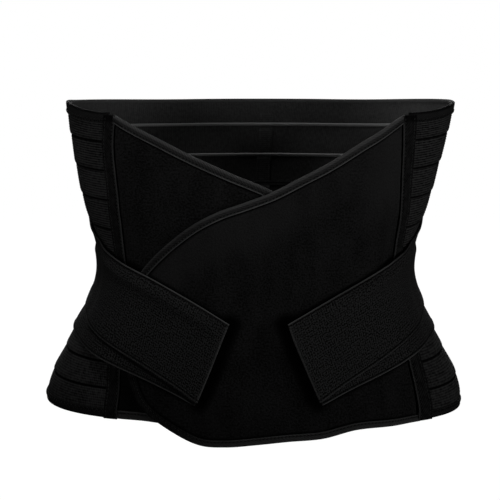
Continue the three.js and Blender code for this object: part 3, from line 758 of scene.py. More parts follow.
def give(tree, shader, colour, uneven, roughness, relief, height, gloss, sheen=0.0):
    """Links a shader's colour, its roughness between two values and its bump, and sets what is the same all over."""
    low, high = roughness
    rough = node(tree, "ShaderNodeMapRange", {"Value": uneven, "To Min": low, "To Max": high})
    bump = node(tree, "ShaderNodeBump", {"Height": relief, "Distance": height * MM, "Strength": 1.0})
    for key, socket in {"Base Color": colour, "Roughness": rough.outputs[0], "Normal": bump.outputs[0]}.items():
        tree.links.new(socket, shader.inputs[key])
    shader.inputs["Specular IOR Level"].default_value = gloss
    shader.inputs["Sheen Weight"].default_value = sheen
    shader.inputs["Sheen Roughness"].default_value = 0.5


def shades(colour, low, high):
    """The stops of a cloth's colour, from darker in its hollows to paler on its tops.

    low and high each give a tone and the share of the colour there.
    """
    return [(tone, [share * c for c in colour] + [1]) for tone, share in (low, high)]


def worn(tree, colour, pale):
    """A cloth's colour, painted paler where it is marked for painted highlights and painted light, and painted darker
    where it is marked for painted shade and a hem's darker tone.
    """
    edge = node(tree, "ShaderNodeAttribute", attribute_name="selvedge")
    # the mark of painted shade, and of a hem's own darker tone
    crease = node(tree, "ShaderNodeAttribute", attribute_name="crease")
    paler = node(tree, "ShaderNodeMix", {"Factor": edge.outputs["Fac"], "A": colour, "B": list(pale) + [1]},
                 data_type="RGBA")
    darker = node(tree, "ShaderNodeMix", {"Factor": crease.outputs["Fac"], "A": paler.outputs[2], "B": (0, 0, 0, 1)},
                  data_type="RGBA")
    return darker.outputs[2]


def knitted_elastic(tree, shader, place, look):
    """Knitted elastic: fine upright wales between the ribs, a selvedge painted paler as a highlight and a brushed
    inner face.
    """
    # The wales are 0.8 mm apart, drawn at 1.8 mm to show.
    wales = node(tree, "ShaderNodeTexWave", {
        "Vector": place, "Scale": WAVE_TURN / (1.8 * MM), "Distortion": 1.2, "Detail": 1.0, "Detail Scale": 1.5},
        bands_direction="X")
    fibre = node(tree, "ShaderNodeTexNoise", {"Vector": place, "Scale": 1 / (3 * MM), "Detail": 2.0})
    wear = node(tree, "ShaderNodeTexNoise", {"Vector": place, "Scale": 1 / (30 * MM), "Detail": 2.0})
    grain = node(tree, "ShaderNodeMath", {0: wales.outputs["Fac"], 1: 0.2, 2: fibre.outputs[0]},
                 operation="MULTIPLY_ADD")
    tone = node(tree, "ShaderNodeMath", {0: wear.outputs[0], 1: 0.4, 2: grain.outputs[0]}, operation="MULTIPLY_ADD")
    # The ribs hold less light in the furrows between them.
    ribs = node(tree, "ShaderNodeTexWave", {
        "Vector": place, "Scale": WAVE_TURN / bpy.context.scene.belly_wrap_sizes.rib_pitch}, bands_direction="Y")
    raised = node(tree, "ShaderNodeAttribute", attribute_name="rib_share")
    wave = node(tree, "ShaderNodeMapRange", {"Value": ribs.outputs["Fac"], "To Min": -0.25, "To Max": 0.25})
    furrows = node(tree, "ShaderNodeMath", {0: wave.outputs[0], 1: raised.outputs["Fac"], 2: tone.outputs[0]},
                   operation="MULTIPLY_ADD")
    knit = node(tree, "ShaderNodeValToRGB", {"Fac": furrows.outputs[0]},
                shades(look.elastic, low=(0.47, 0.1), high=(1, 1.95)))
    brushed = node(tree, "ShaderNodeValToRGB", {"Fac": tone.outputs[0]},
                   shades(look.lining, low=(0.5, 0.75), high=(1, 1.25)))
    face = node(tree, "ShaderNodeAttribute", attribute_name="outside")
    faces = node(tree, "ShaderNodeMix", {
        "Factor": face.outputs["Fac"], "A": brushed.outputs[0], "B": knit.outputs[0]}, data_type="RGBA")
    colour = worn(tree, faces.outputs[2], look.selvedge)
    give(tree, shader, colour, fibre.outputs[0], (0.75, 0.98), relief=grain.outputs[0], height=0.3, gloss=0.03)


def brushed_loop_cloth(tree, shader, place, look):
    """Brushed loop cloth: a short soft nap that lies in uneven patches and turns the light a little."""
    # The loops are 0.5 mm across, drawn at 1.5 mm to show.
    nap = node(tree, "ShaderNodeTexNoise", {
        "Vector": place, "Scale": 1 / (1.5 * MM), "Detail": 1.0, "Roughness": 0.6})
    streaked = node(tree, "ShaderNodeMapping", {"Vector": place, "Scale": (1, 0.45, 1)})
    patch = node(tree, "ShaderNodeTexNoise", {"Vector": streaked.outputs[0], "Scale": 1 / (14 * MM), "Detail": 3.0})
    tone = node(tree, "ShaderNodeMath", {0: patch.outputs[0], 1: 0.35, 2: nap.outputs[0]}, operation="MULTIPLY_ADD")
    pile = node(tree, "ShaderNodeValToRGB", {"Fac": tone.outputs[0]},
                shades(look.plush, low=(0.46, 0.18), high=(0.89, 1.9)))
    # painted light where the over panel is marked paler, and painted shade where it is marked darker
    colour = worn(tree, pile.outputs[0], [PAINTED_PANEL_LIGHT["paler"] * c for c in look.plush])
    give(tree, shader, colour, nap.outputs[0], (0.88, 1.0), relief=nap.outputs[0], height=0.5, gloss=0.02, sheen=0.01)


def twill_tape(tree, shader, place, look):
    """Woven twill tape: fine slanting ribs with a slight shine along their tops."""
    # The twill's ribs are 0.7 mm apart, drawn at 1.8 mm to show.
    slanted = node(tree, "ShaderNodeMapping", {"Vector": place, "Rotation": (0, 0, math.radians(50))})
    twill = node(tree, "ShaderNodeTexWave", {
        "Vector": slanted.outputs[0], "Scale": WAVE_TURN / (1.8 * MM),
        "Distortion": 1.0, "Detail": 1.0, "Detail Scale": 2.0})
    patch = node(tree, "ShaderNodeTexNoise", {"Vector": place, "Scale": 1 / (4 * MM), "Detail": 3.0})
    ribs = twill.outputs["Fac"]
    tone = node(tree, "ShaderNodeMath", {0: ribs, 1: 0.25, 2: patch.outputs[0]}, operation="MULTIPLY_ADD")
    weave = node(tree, "ShaderNodeValToRGB", {"Fac": tone.outputs[0]},
                 shades(look.tape, low=(0.4, 0.25), high=(0.85, 1.75)))
    # painted highlights and painted shade where the tape is marked, and a hem's own darker tone
    colour = worn(tree, weave.outputs[0], look.tape_edge)
    give(tree, shader, colour, ribs, (0.85, 0.7), relief=ribs, height=0.25, gloss=0.025)


def looped_webbing(tree, shader, place, look):
    """Woven elastic webbing with a looped face: crossing threads under a broken, grainy pile, and smooth edges painted
    paler as highlights.
    """
    # The threads are 0.8 mm apart, drawn at 2 mm to show.
    lengthways, crossways = (node(tree, "ShaderNodeTexWave", {
        "Vector": place, "Scale": WAVE_TURN / (2 * MM), "Distortion": 2.0, "Detail": 2.0, "Detail Scale": 1.5},
        bands_direction=way).outputs["Fac"] for way in ("X", "Y"))
    loops = node(tree, "ShaderNodeTexNoise", {
        "Vector": place, "Scale": 1 / (1.2 * MM), "Detail": 1.0, "Roughness": 0.6})
    weave = node(tree, "ShaderNodeMath", {0: lengthways, 1: crossways}, operation="MULTIPLY")
    tone = node(tree, "ShaderNodeMath", {0: weave.outputs[0], 1: 0.2, 2: loops.outputs[0]}, operation="MULTIPLY_ADD")
    pile = node(tree, "ShaderNodeValToRGB", {"Fac": tone.outputs[0]},
                shades(look.webbing, low=(0.44, 0.08), high=(0.66, 2.15)))
    colour = worn(tree, pile.outputs[0], look.webbing_edge)
    give(tree, shader, colour, loops.outputs[0], (0.75, 0.95), relief=tone.outputs[0], height=0.5, gloss=0.03)


def twisted_thread(tree, shader, black):
    """Twisted polyester thread, a little glossier than the cloth, with the twist of its plies."""
    # The plies turn once in 0.6 mm.
    place = node(tree, "ShaderNodeTexCoord").outputs["Object"]
    plies = node(tree, "ShaderNodeTexWave", {"Vector": place, "Scale": WAVE_TURN / (0.6 * MM)},
                 bands_direction="DIAGONAL").outputs["Fac"]
    ramp = node(tree, "ShaderNodeValToRGB", {"Fac": plies}, shades(black, low=(0, 0.7), high=(1, 1.3)))
    give(tree, shader, ramp.outputs[0], plies, (0.5, 0.65), relief=plies, height=0.05, gloss=0.12, sheen=0.05)


def sewing_thread(tree, shader, place, look):
    """The thread of the tapes, the bindings and the straps."""
    twisted_thread(tree, shader, look.thread)


def painted_shade_sewing_thread(tree, shader, place, look):
    """The hems' thread, painted near black as the shade between its loops."""
    twisted_thread(tree, shader, look.painted_shade_thread)


def nylon_hook_tape(tree, shader, place, look):
    """Hook tape: a nylon ground covered in rows of small stiff hooks."""
    # The hooks stand 1.6 mm apart.
    hooks = node(tree, "ShaderNodeTexVoronoi", {"Vector": place, "Scale": 1 / (1.6 * MM), "Randomness": 0.3})
    away = hooks.outputs["Distance"]
    ramp = node(tree, "ShaderNodeValToRGB", {"Fac": away}, shades(look.hook, low=(0, 1.6), high=(1, 0.6)))
    tall = node(tree, "ShaderNodeMath", {0: 1.0, 1: away}, operation="SUBTRACT")
    give(tree, shader, ramp.outputs[0], away, (0.4, 0.8), relief=tall.outputs[0], height=0.5, gloss=0.15)


# Elastic bands and hems

def sag(angle, z):
    """How much lower than its nominal height a place on the elastic lies."""
    aside = np.minimum(angle, 360 - angle)
    back = ease(aside, BACK_SAG["start"], BACK_SAG["end"])
    dip = 1 - ease(aside, RIM_DIP["start"], RIM_DIP["end"])
    near_rim = np.clip(1 - (TOP_Z - z) / RIM_DIP["height"], 0, 1)
    left_hip = np.maximum(0, -np.sin(np.radians(angle)))
    near_hem = 1 - ease(z, HIP_RISE["bottom"], HIP_RISE["top"])
    peak = np.where(angle > 180, RIM_PEAK["left"], RIM_PEAK["right"])
    peak = peak * np.exp(-((aside - RIM_PEAK["place"]) / RIM_PEAK["width"]) ** 2) * near_rim
    turn = ease(aside, LIFT_TURN["tape"], LIFT_TURN["side"])
    fade = ease(aside, LIFT_TURN["fade"], LIFT_TURN["end"])
    lifts = {place: smooth(SIDE_LIFT["z"], SIDE_LIFT[place], z) for place in SIDE_LIFT}
    left = mix(lifts["left_tape"], lifts["left_side"], turn)
    right = mix(lifts["right_tape"], lifts["right_side"], turn)
    lift = mix(np.where(angle > 180, left, right), lifts["back"], fade)
    lower = BACK_SAG["depth"] * back + RIM_DIP["depth"] * dip * near_rim
    return lower - peak - HIP_RISE["height"] * left_hip * near_hem - lift


def band_levels():
    """The lower edge and the tucked upper edge of each band."""
    top = TOP_Z
    levels = []
    for height in BAND_HEIGHTS:
        levels.append((top - height, top + (BAND_LAP if levels else 0)))
        top -= height
    return levels


def band_place(level, u, v):
    """A place in a band's inner face, at a share of the way round the back and a share of the way up."""
    bottom, tucked = level
    z = mix(bottom, tucked, v)
    angle = mix(right_seam(z) + BAND_TUCK_DEG, 360 - left_seam(z) - BAND_TUCK_DEG, u)
    crown = BAND_CROWN * np.sin(math.pi * np.clip(v, 0, 1))
    return angle, z - sag(angle, z), mix(BAND_EDGE_OUT["lower"], BAND_EDGE_OUT["tucked"], v) + crown


def band_length(level):
    """The length of a band's middle, as it is worn."""
    return spans(on_body(*band_place(level, np.linspace(0, 1, LENGTH_POINTS), 0.5))).sum()


def elastic_band(name, level, number, sizes):
    """A band's mesh with its marks, and its length and width."""
    length, width = band_length(level), level[1] - level[0]
    lapped, pale = number > 1, number in PALE_SELVEDGES

    def place(u, v):
        angle, z, out = band_place(level, u, v)
        wander = ripple(EDGE_WANDER, u * length, 0, number) * (1 - v)
        return angle, z + wander, out + ripple(BAND_RIPPLE, u * length, v * width, number)

    def upper_edge(across, form):
        """How near a place is to a band's upper edge, between a form's two distances from it."""
        return ease(across, width - form["start"], width - form["end"])

    def relief(along, across):
        from_top = width - across
        bead = (1 if pale else HIDDEN_SELVEDGE) * ridge(SELVEDGE, from_top)
        groove = ridge(LAP_GROOVE, from_top - BAND_LAP) * lapped
        return 0 * along - groove, bead * rounded(from_top, SELVEDGE_MARK["rounding"]) + groove + 0 * along

    def rib_share(along, across):
        stretched = 1 if number < FIRST_HIP_BAND else HIP_RIBS
        lower, upper = (ease(side, RIB_MARGIN["start"], RIB_MARGIN["end"]) for side in (across, width - across))
        return stretched * lower * upper + 0 * along

    def rib_place(along, across):
        return across * MM + 0 * along

    # painted highlight along the inner upper edge of the bands in PALE_SELVEDGES
    def selvedge(along, across):
        edge = upper_edge(across, SELVEDGE_MARK) + 0 * along
        return 0 * edge, edge * pale

    def outside(along, across):
        return 1 + 0 * along + 0 * across

    # painted shade in the groove under the lap, and on the inner upper edges of the bands below the pale ones
    def crease(along, across):
        groove = LAP_SHADE["share"] * lapped * upper_edge(across + BAND_LAP, LAP_SHADE)
        inner = INNER_SHADE["share"] * (number > max(PALE_SELVEDGES)) * upper_edge(across, INNER_SHADE)
        return groove + 0 * along, inner + 0 * along

    step = (BAND_STEP, sizes.rib_pitch / MM / POINTS_IN_RIB)
    mesh = cloth(name, (length, width), step, BAND_THICKNESS, place, relief,
                 rib_share=rib_share, rib_place=rib_place, selvedge=selvedge, outside=outside, crease=crease)
    return mesh, length, width


def hem_share(level, inwards, depth):
    """The share of the way up a band at a depth from the edge that its hem is folded round."""
    bottom, tucked = level
    edge = tucked if inwards < 0 else bottom
    return (edge + inwards * depth - bottom) / (tucked - bottom)


def hem_point(level, inwards, u):
    """Gives places of a hem, at depths from a band's edge and distances aside from the band's middle."""
    def point(depth, aside):
        angle, z, out = band_place(level, u[:, None], hem_share(level, inwards, depth)[None, :])
        return on_body(angle, z, out + BAND_THICKNESS / 2 + aside[None, :])

    return point


def hem_stitches(level, inwards, depth):
    """Paths of stitches on both faces of a hem."""
    u = np.linspace(HEM_START + HEM_STITCH_START, 1 - HEM_START - HEM_STITCH_START, HEM_STITCH_POINTS)
    angle, z, out = band_place(level, u, hem_share(level, inwards, depth))
    ways = directions(angle, z)[2]
    middle = out + BAND_THICKNESS / 2
    return [(on_body(angle, z, middle + side * HEM_STITCH_OUT), side * ways) for side in (1, -1)]


# Tapes

def strip_length(z_low, z_high):
    """The length of a strip that runs up the body."""
    return (z_high - z_low) * CURVE_SHARE


def tape_profile(width, across):
    """How a tape's face rises and falls across it: a bead at each edge, and a groove where it is sewn."""
    edge = np.minimum(across, width - across)
    return ridge(TAPE_BEAD, edge) - ridge(TAPE_GROOVE, edge)


def side_tape_place(side):
    """Gives places of the tape over a side seam, from its lower end up and from its front edge back."""
    seam = left_seam if side < 0 else right_seam
    name = "left" if side < 0 else "right"
    bottom = TAPE_BOTTOM_Z[name]

    def place(u, v):
        z = mix(bottom, TAPE_TOP_Z, u)
        width = smooth(TAPE_WIDTHS["z"], TAPE_WIDTHS[name], z)
        angle = side * (seam(z) + TAPE_TUCK_DEG + v * degrees_for(width, side * seam(z), z))
        out = mix(TAPE_OUT["hem"], TAPE_OUT["bands"], ease(z, TAPE_OUT["hem_z"], TAPE_OUT["bands_z"]))
        return angle, z + 0 * v, out + ripple(TAPE_RIPPLE, u * TAPE_LENGTH, v * TAPE_WIDTH, side)

    return place


def spine_tape_place(u, v):
    """The tape at the spine lies on the bands, over the lower hem and over the straps' ends."""
    z = mix(SPINE_TAPE["bottom"], SPINE_TAPE["top"], u) - BACK_SAG["depth"]
    angle = SPINE_ANGLE + (v - 0.5) * degrees_for(SPINE_TAPE["width"], SPINE_ANGLE, z)
    dip = SPINE_TAPE["edge_dip"] * ease(np.abs(v - 0.5), *SPINE_TAPE["edge"])
    return angle, z + 0 * v, np.interp(z, SPINE_TAPE_OUT["z"], SPINE_TAPE_OUT["out"]) - dip


def channel_place(u, v):
    """The strip inside the back follows the bands that it is sewn to."""
    level = mix(SPINE_CHANNEL["bottom"], SPINE_CHANNEL["top"], u)
    out = 0
    for bottom, tucked in band_levels():
        share = (level - bottom) / (tucked - bottom)
        inside = mix(BAND_EDGE_OUT["lower"], BAND_EDGE_OUT["tucked"], share)
        out = np.where((share >= 0) & (level < tucked - BAND_LAP), inside, out)
    z = level - BACK_SAG["depth"]
    angle = SPINE_ANGLE + (v - 0.5) * degrees_for(SPINE_CHANNEL["width"], SPINE_ANGLE, z)
    return angle, z + 0 * v, out - SPINE_CHANNEL["thickness"] - SPINE_CHANNEL["clear"] + 0 * v


def tape_mesh(name, place, length, width, both_edges):
    """A tape's mesh, with a painted highlight and painted shade in its groove along its front edge or along both
    edges, and painted shade at its upper end.
    """
    def marked_edge(across):
        return np.minimum(across, width - across) if both_edges else across

    def relief(along, across):
        face = tape_profile(width, across) + 0 * along
        return face, 0 * face

    def selvedge(along, across):
        pale = 1 - ease(marked_edge(across), TAPE_PALE["start"], TAPE_PALE["end"])
        return TAPE_PALE["share"] * pale + 0 * along

    def crease(along, across):
        upper_end = ease(along, length - TAPE_TOP_SHADE["start"], length - TAPE_TOP_SHADE["end"])
        return np.maximum(ridge(TAPE_GROOVE_SHADE, marked_edge(across)), TAPE_TOP_SHADE["share"] * upper_end)

    return cloth(name, (length, width), TAPE_STEP, TAPE_THICKNESS, place, relief, selvedge=selvedge, crease=crease)


def channel_mesh(name, length, width):
    """The mesh of the strip inside the back, whose face is its inner one."""
    def relief(along, across):
        face = tape_profile(width, across) + 0 * along
        return 0 * face, SPINE_CHANNEL["relief"] * face

    return cloth(name, (length, width), TAPE_STEP, SPINE_CHANNEL["thickness"], channel_place, relief)


def tape_stitches(place, width):
    """Paths of stitches along both edges of a tape."""
    u = np.linspace(TAPE_STITCH["margin"], 1 - TAPE_STITCH["margin"], TAPE_STITCH["points"])
    inset = TAPE_GROOVE["place"] / width
    paths = []
    for v in (inset, 1 - inset):
        angle, z, out = place(u, np.full_like(u, v))
        paths.append((on_body(angle, z, out + (TAPE_THICKNESS - TAPE_STITCH["sunk"])), directions(angle, z)[2]))
    return paths


# Front panels and their bindings

def waves(angle, z, panel_seed):
    """The slight unevenness of a worn panel."""
    return sum(ripple(form, angle * FRONT_DEGREE, z, panel_seed) for form in PANEL_RIPPLES)


def under_panel_out(angle, z):
    """How far out the under panel's inner face lies."""
    return PANEL_OUT + waves(angle, z, PANEL_SEEDS["under"])


def over_panel_out(angle, z):
    """How far out the over panel's inner face lies, over the under panel from a little way in from its seam."""
    lift = OVERLAP_LIFT * ease(right_seam(z) - angle, LIFT_RAMP_DEG["start"], LIFT_RAMP_DEG["end"])
    return PANEL_OUT + lift + waves(angle, z, PANEL_SEEDS["over"])


def panel_place(panel, row, v):
    """The angle and height at a row number along a panel and a share of the way from its lower to its upper edge."""
    rows = np.arange(len(panel["top_z"]), dtype=float)
    top_share, top_z, bottom_share, bottom_z = (smooth(rows, panel[key], row) for key in PANEL_COLUMNS.split())
    z = mix(bottom_z, top_z, v)
    return share_angle(mix(bottom_share, top_share, v), z), z


def binding_share(z, side):
    """The share of a binding's width that shows."""
    return 1 - BINDING_TURN["share"] * ease(-z, BINDING_TURN["start"], BINDING_TURN["end"]) * (side > 0)


def distances(points, line):
    """How far points are from a line of points."""
    nearest = np.full(points.shape[:-1], 1e3)
    for place in line:
        nearest = np.minimum(nearest, np.linalg.norm(points - place, axis=-1))
    return nearest


def strap_shadow(points):
    """How dark the painted shadow of the straps is beside their edges, and most in front of their ends."""
    most = 0
    first = UPPER_STRAP["top_angle"][0]
    along = np.linspace(first, STRAP_SHADOW_TO_ANGLE, STRAP_SHADOW_POINTS["edge"])
    for side in (-1, 1):
        lines = {
            "upper_edge": strap_place(UPPER_STRAP, side, along, 1.0),
            "lower_edge": strap_place(LOWER_STRAP, side, along, 0.0),
            "end": strap_place(UPPER_STRAP, side, first, np.linspace(0, 1, STRAP_SHADOW_POINTS["end"])),
        }
        for line, (angle, z, _) in lines.items():
            share, near, far = STRAP_SHADOW[line]
            most = np.maximum(most, share * (1 - ease(distances(points, skin(angle, z)), near, far)))
    return most


def painted_panel_light(angle, z):
    """How much painted light lies on the over panel at each place."""
    below_edge = 1 - ease(z[:, -1:] - z, *PAINTED_PANEL_LIGHT["edge_depth"])
    edge = below_edge * mix(1, PAINTED_PANEL_LIGHT["right"], ease(angle, *PAINTED_PANEL_LIGHT["right_angle"]))
    seam = ease(angle, *PAINTED_PANEL_LIGHT["seam_angle"]) * ease(z, *PAINTED_PANEL_LIGHT["seam_z"])
    return np.maximum(PAINTED_PANEL_LIGHT["edge"] * edge, PAINTED_PANEL_LIGHT["seam"] * seam)


def front_panel(name, panel, panel_out, side):
    """A panel's mesh, drawn in where it is sewn, with painted shade there and beside its tape, painted shadow beside
    the straps, painted shade at the under panel's corner and painted light on the over panel.
    """
    last = len(panel["top_z"]) - 1
    first_row, margin = PANEL_LINES["seam_row"], PANEL_LINES["edge_share"]
    rows = np.concatenate([np.linspace(0, first_row, PANEL_LINES["seam"])[:-1],
                           np.linspace(first_row, last, PANEL_LINES["row"] * last)])[:, None]
    edging = np.linspace(0, margin, PANEL_LINES["edge"])
    middle = np.linspace(margin, 1 - margin, PANEL_LINES["middle"])
    heights = np.concatenate([edging[:-1], middle, 1 - edging[-2::-1]])[None, :]
    angle, z = panel_place(panel, rows, heights)
    seam = right_seam(z) if side > 0 else left_seam(z)
    from_seam = (seam - side * angle) * np.linalg.norm(directions(side * seam, z)[0], axis=-1)
    points = skin(angle, z)
    from_edge = distances(points, skin(*free_edge(panel, 1 if side > 0 else 0)))
    sewn = ridge(SEWN_IN, from_edge - BINDING_WIDTH * binding_share(z, side))
    out = panel_out(angle, z)
    outer = on_body(angle, z, out + PANEL_THICKNESS - np.maximum(ridge(SEAM_GAP, from_seam), SEWN_IN_DEPTH * sewn))
    inner = on_body(angle, z, out)
    along = lengths(inner[:, MEASURED_LINE])[:, None]
    # painted shade beside the side tape and along the binding, and painted shadow beside the straps
    beside_tape = SEAM_GAP_SHADE * (1 - ease(from_seam, SEAM_GAP["place"], 0.0))
    crease = np.maximum(np.maximum(beside_tape, SEWN_IN_SHADE * sewn), strap_shadow(points))
    pale = 0 * z
    if side > 0:
        # painted light on the over panel
        pale = painted_panel_light(angle, z)
    else:
        # painted shade on the under panel's lower corner
        corner = ease(-z, *CORNER_SHADE["below"]) * ease(-angle, *CORNER_SHADE["angle"])
        crease = np.maximum(crease, CORNER_SHADE["share"] * corner)
    return shell(name, outer, inner, along + 0 * z, z - BODY["z"][0], crease=crease, selvedge=pale)


def free_edge(panel, away_along):
    """The places along a panel's free edges: away along one, across its free end and back along the other."""
    last = len(panel["top_z"]) - 1
    rows = np.concatenate([[BINDING_ROWS["first"]],
                           np.linspace(BINDING_ROWS["second"], last, BINDING_ROWS["lines"] * last)])
    across = np.linspace(away_along, 1 - away_along, BINDING_ROWS["across"])[1:-1]
    legs = [panel_place(panel, rows, away_along), panel_place(panel, last, across),
            panel_place(panel, rows[::-1], 1 - away_along)]
    return np.concatenate([leg[0] for leg in legs]), np.concatenate([leg[1] for leg in legs])


def binding_frame(edge):
    """The way into the panel and the length along its free edge, at each place of the edge."""
    angle, z = edge
    points = skin(angle, z)
    heading = np.gradient(points, axis=0)
    for _ in range(BINDING_PASSES):
        heading[1:-1] = (heading[:-2] + 2 * heading[1:-1] + heading[2:]) / 4
    _, up, normal = directions(angle, z)
    inward = np.cross(normal, heading)
    for end in (0, -1):
        inward[end] = up[end] * np.sign(np.dot(inward[end], up[end]))
    inward /= np.linalg.norm(inward, axis=-1, keepdims=True)
    return inward, lengths(points)


def step_along(angle, z, direction, distance):
    """The place reached by a step along the skin, in a direction in space."""
    around, up, _ = directions(angle, z)
    rr, ru, uu = (np.sum(a * b, axis=-1) for a, b in ((around, around), (around, up), (up, up)))
    dr, du = np.sum(direction * around, axis=-1) * distance, np.sum(direction * up, axis=-1) * distance
    area = rr * uu - ru * ru
    return angle + (dr * uu - du * ru) / area, z + (du * rr - dr * ru) / area


def binding_point(edge, inward, panel_out, side):
    """Gives places of a binding, at depths from the edge and distances aside from the panel's middle."""
    angle, z = edge
    share = binding_share(z, side)[:, None]

    def point(depth, aside):
        there, height = step_along(angle[:, None], z[:, None], inward[:, None, :], share * depth[None, :])
        return on_body(there, height, panel_out(there, height) + PANEL_THICKNESS / 2 + aside[None, :])

    return point


def binding_marks(edge, side):
    """How pale a binding is painted along its edge: paler below, and least pale at the free end under the straps, as
    painted shade.
    """
    angle, z = edge
    below = ease(-z, *BINDING_PALE["below"])[:, None]
    covered = mix(*BINDING_PALE["covered"], ease(-z, *BINDING_PALE["covered_below"]))
    bare = (1 - covered * ease(-side * angle, *BINDING_PALE["covered_angle"]))[:, None]
    face, lips = (mix(*BINDING_PALE[part], below) * bare for part in ("face", "lips"))
    return {"pale": face, "lips": lips, "inside": BINDING_PALE["inside"], "dark": 0}


# Straps and hook fasteners

def strap_place(strap, side, top_angle, v):
    """The angle, height and distance out at an angle along a strap's upper edge and a share of the way up."""
    top_z, bottom_angle, bottom_z = (
        smooth(strap["top_angle"], strap[key], top_angle) for key in ("top_z", "bottom_angle", "bottom_z"))
    angle = mix(bottom_angle, top_angle, v)
    z = mix(bottom_z, top_z, v)
    front = 1 - ease(angle, FRONT_SHIFT["start"], FRONT_SHIFT["end"])
    back = ease(angle, SPINE_SHIFT["start"], SPINE_SHIFT["end"])
    shift = FRONT_SHIFT["angle"] * front + SPINE_SHIFT["angle"] * back
    return side * angle + shift, z, smooth(STRAP_OUT["angle"], STRAP_OUT["out"], angle)


def strap_form(strap, side, layer, sizes):
    """A strap's place on the body, and its length and width."""
    first, last = strap["top_angle"][0], strap["top_angle"][-1]

    def bare(u, v):
        angle, z, out = strap_place(strap, side, mix(first, last, u), v)
        above = z - smooth(LOWER_STRAP["top_angle"], LOWER_STRAP["top_z"], np.abs(angle))
        drop = ease(above, LAYER_DROP["start"], LAYER_DROP["end"]) if layer else 0
        return angle, z, out + layer * (1 - drop)

    length = spans(on_body(*bare(np.linspace(0, 1, LENGTH_POINTS), 0.5))).sum()
    width = spans(on_body(*bare(STRAP_MEASURED["place"], np.linspace(0, 1, STRAP_MEASURED["points"])))).sum()

    def place(u, v):
        angle, z, out = bare(u, v)
        tip = sizes.tip_lift / MM * (1 - ease(u * length, 0, STRAP_TIP))
        uneven = ripple(STRAP_RIPPLE, u * length, v * width, side + 3 * (layer > 0))
        below = (1 - v) * width - STRAP_BULGE["place"]
        spread = np.where(below > 0, STRAP_BULGE["below"], STRAP_BULGE["above"])
        bulge = STRAP_BULGE["height"] * np.exp(-(below / spread) ** 2)
        shown = ease(u * length, *STRAP_BULGE["start"]) * (1 - ease(u * length, *STRAP_BULGE["end"])) * (layer > 0)
        return angle, z, out + tip + uneven + bulge * shown

    return place, length, width


def strap_relief(width):
    """A bead and a groove along both edges of a strap, and a hem folded under at its front end."""
    def relief(along, across):
        edge = np.minimum(across, width - across)
        selvedge = ridge(STRAP_BEAD, edge) - ridge(STRAP_GROOVE, edge)
        fold = STRAP_HEM["height"] * (1 - ease(along, *STRAP_HEM["end"])) - ridge(STRAP_HEM_SEAM, along)
        fold = fold * ease(along, *STRAP_HEM["start"])
        return selvedge + fold, ridge(STRAP_BACK_BEAD, edge) + 0 * along

    return relief


def strap_highlights(width, layer):
    """Marks painted highlights along a strap's edges, fading away from the front, and its paler front end."""
    def selvedge(along, across):
        upper = STRAP_PALE["upper"] * (1 - ease(width - across, *STRAP_PALE["edge"]))
        lower = STRAP_PALE["lower"][layer > 0] * (1 - ease(across, *STRAP_PALE["edge"]))
        front = STRAP_PALE["front"] * (1 - ease(along, *STRAP_PALE["front_edge"]))
        # the painted highlights fade away from the front
        highlight_fade = 1 - STRAP_PALE["fade"] * ease(along, *STRAP_PALE["fade_length"])
        return np.maximum((upper + lower) * highlight_fade, front)

    return selvedge


def strap_crease(place, length, width, layer):
    """Marks painted shade in the grooves beside the edges of a strap, and painted shadow on the lower strap along the
    upper one's edge.
    """
    def crease(along, across):
        groove = ridge(STRAP_GROOVE_SHADE, np.minimum(across, width - across)) + 0 * along
        if layer:
            return groove
        angle, z, _ = place(along / length, across / width)
        below = smooth(UPPER_STRAP["bottom_angle"], UPPER_STRAP["bottom_z"], np.abs(angle)) - z
        shadowed = 1 - ease(np.abs(below - UPPER_STRAP_SHADOW["place"]), *UPPER_STRAP_SHADOW["fade"])
        return np.maximum(groove, UPPER_STRAP_SHADOW["share"] * shadowed)

    return crease


def strap_stitches(place, length, width):
    """Paths of the stitching at a strap's front end: across it, and back along its lower edge."""
    v = np.linspace(STRAP_STITCH["margin"], 1 - STRAP_STITCH["margin"], STRAP_STITCH["points"])
    across = (np.full_like(v, STRAP_HEM_SEAM["place"] / length), v)
    u = np.linspace(STRAP_STITCH["start"] / length, STRAP_STITCH["end"] / length, STRAP_STITCH["points"])
    along = (u, np.full_like(u, STRAP_STITCH["inset"] / width))
    paths = []
    for u, v in (across, along):
        angle, z, out = place(u, v)
        paths.append((on_body(angle, z, out + STRAP_THICKNESS - STRAP_STITCH["sunk"]), directions(angle, z)[2]))
    return paths


def strap_hook_place(side):
    """Gives places of the hook tape behind a strap's front end."""
    def place(u, v):
        top_angle = mix(STRAP_HOOK["from_angle"], STRAP_HOOK["to_angle"], u)
        margin = STRAP_HOOK["margin"]
        angle, z, _ = strap_place(LOWER_STRAP, side, top_angle, mix(margin, 1 - margin, v))
        return angle, z, STRAP_HOOK["out"] + 0 * angle

    return place


def closure_hook_place(u, v):
    """A place of the hook tape behind the over panel's free end."""
    z = mix(CLOSURE_HOOK["bottom_z"], CLOSURE_HOOK["top_z"], v)
    share = mix(CLOSURE_HOOK["from_share"], CLOSURE_HOOK["to_share"], u)
    angle = share_angle(share, z)
    return angle, z + 0 * u, CLOSURE_HOOK["out"] + 0 * angle


# Settings that a user would change

def distance(name, description, value, low, high):
    """A size that a user would change, in metres."""
    return bpy.props.FloatProperty(
        name=name, description=description, default=value, min=low, max=high, subtype="DISTANCE", unit="LENGTH")


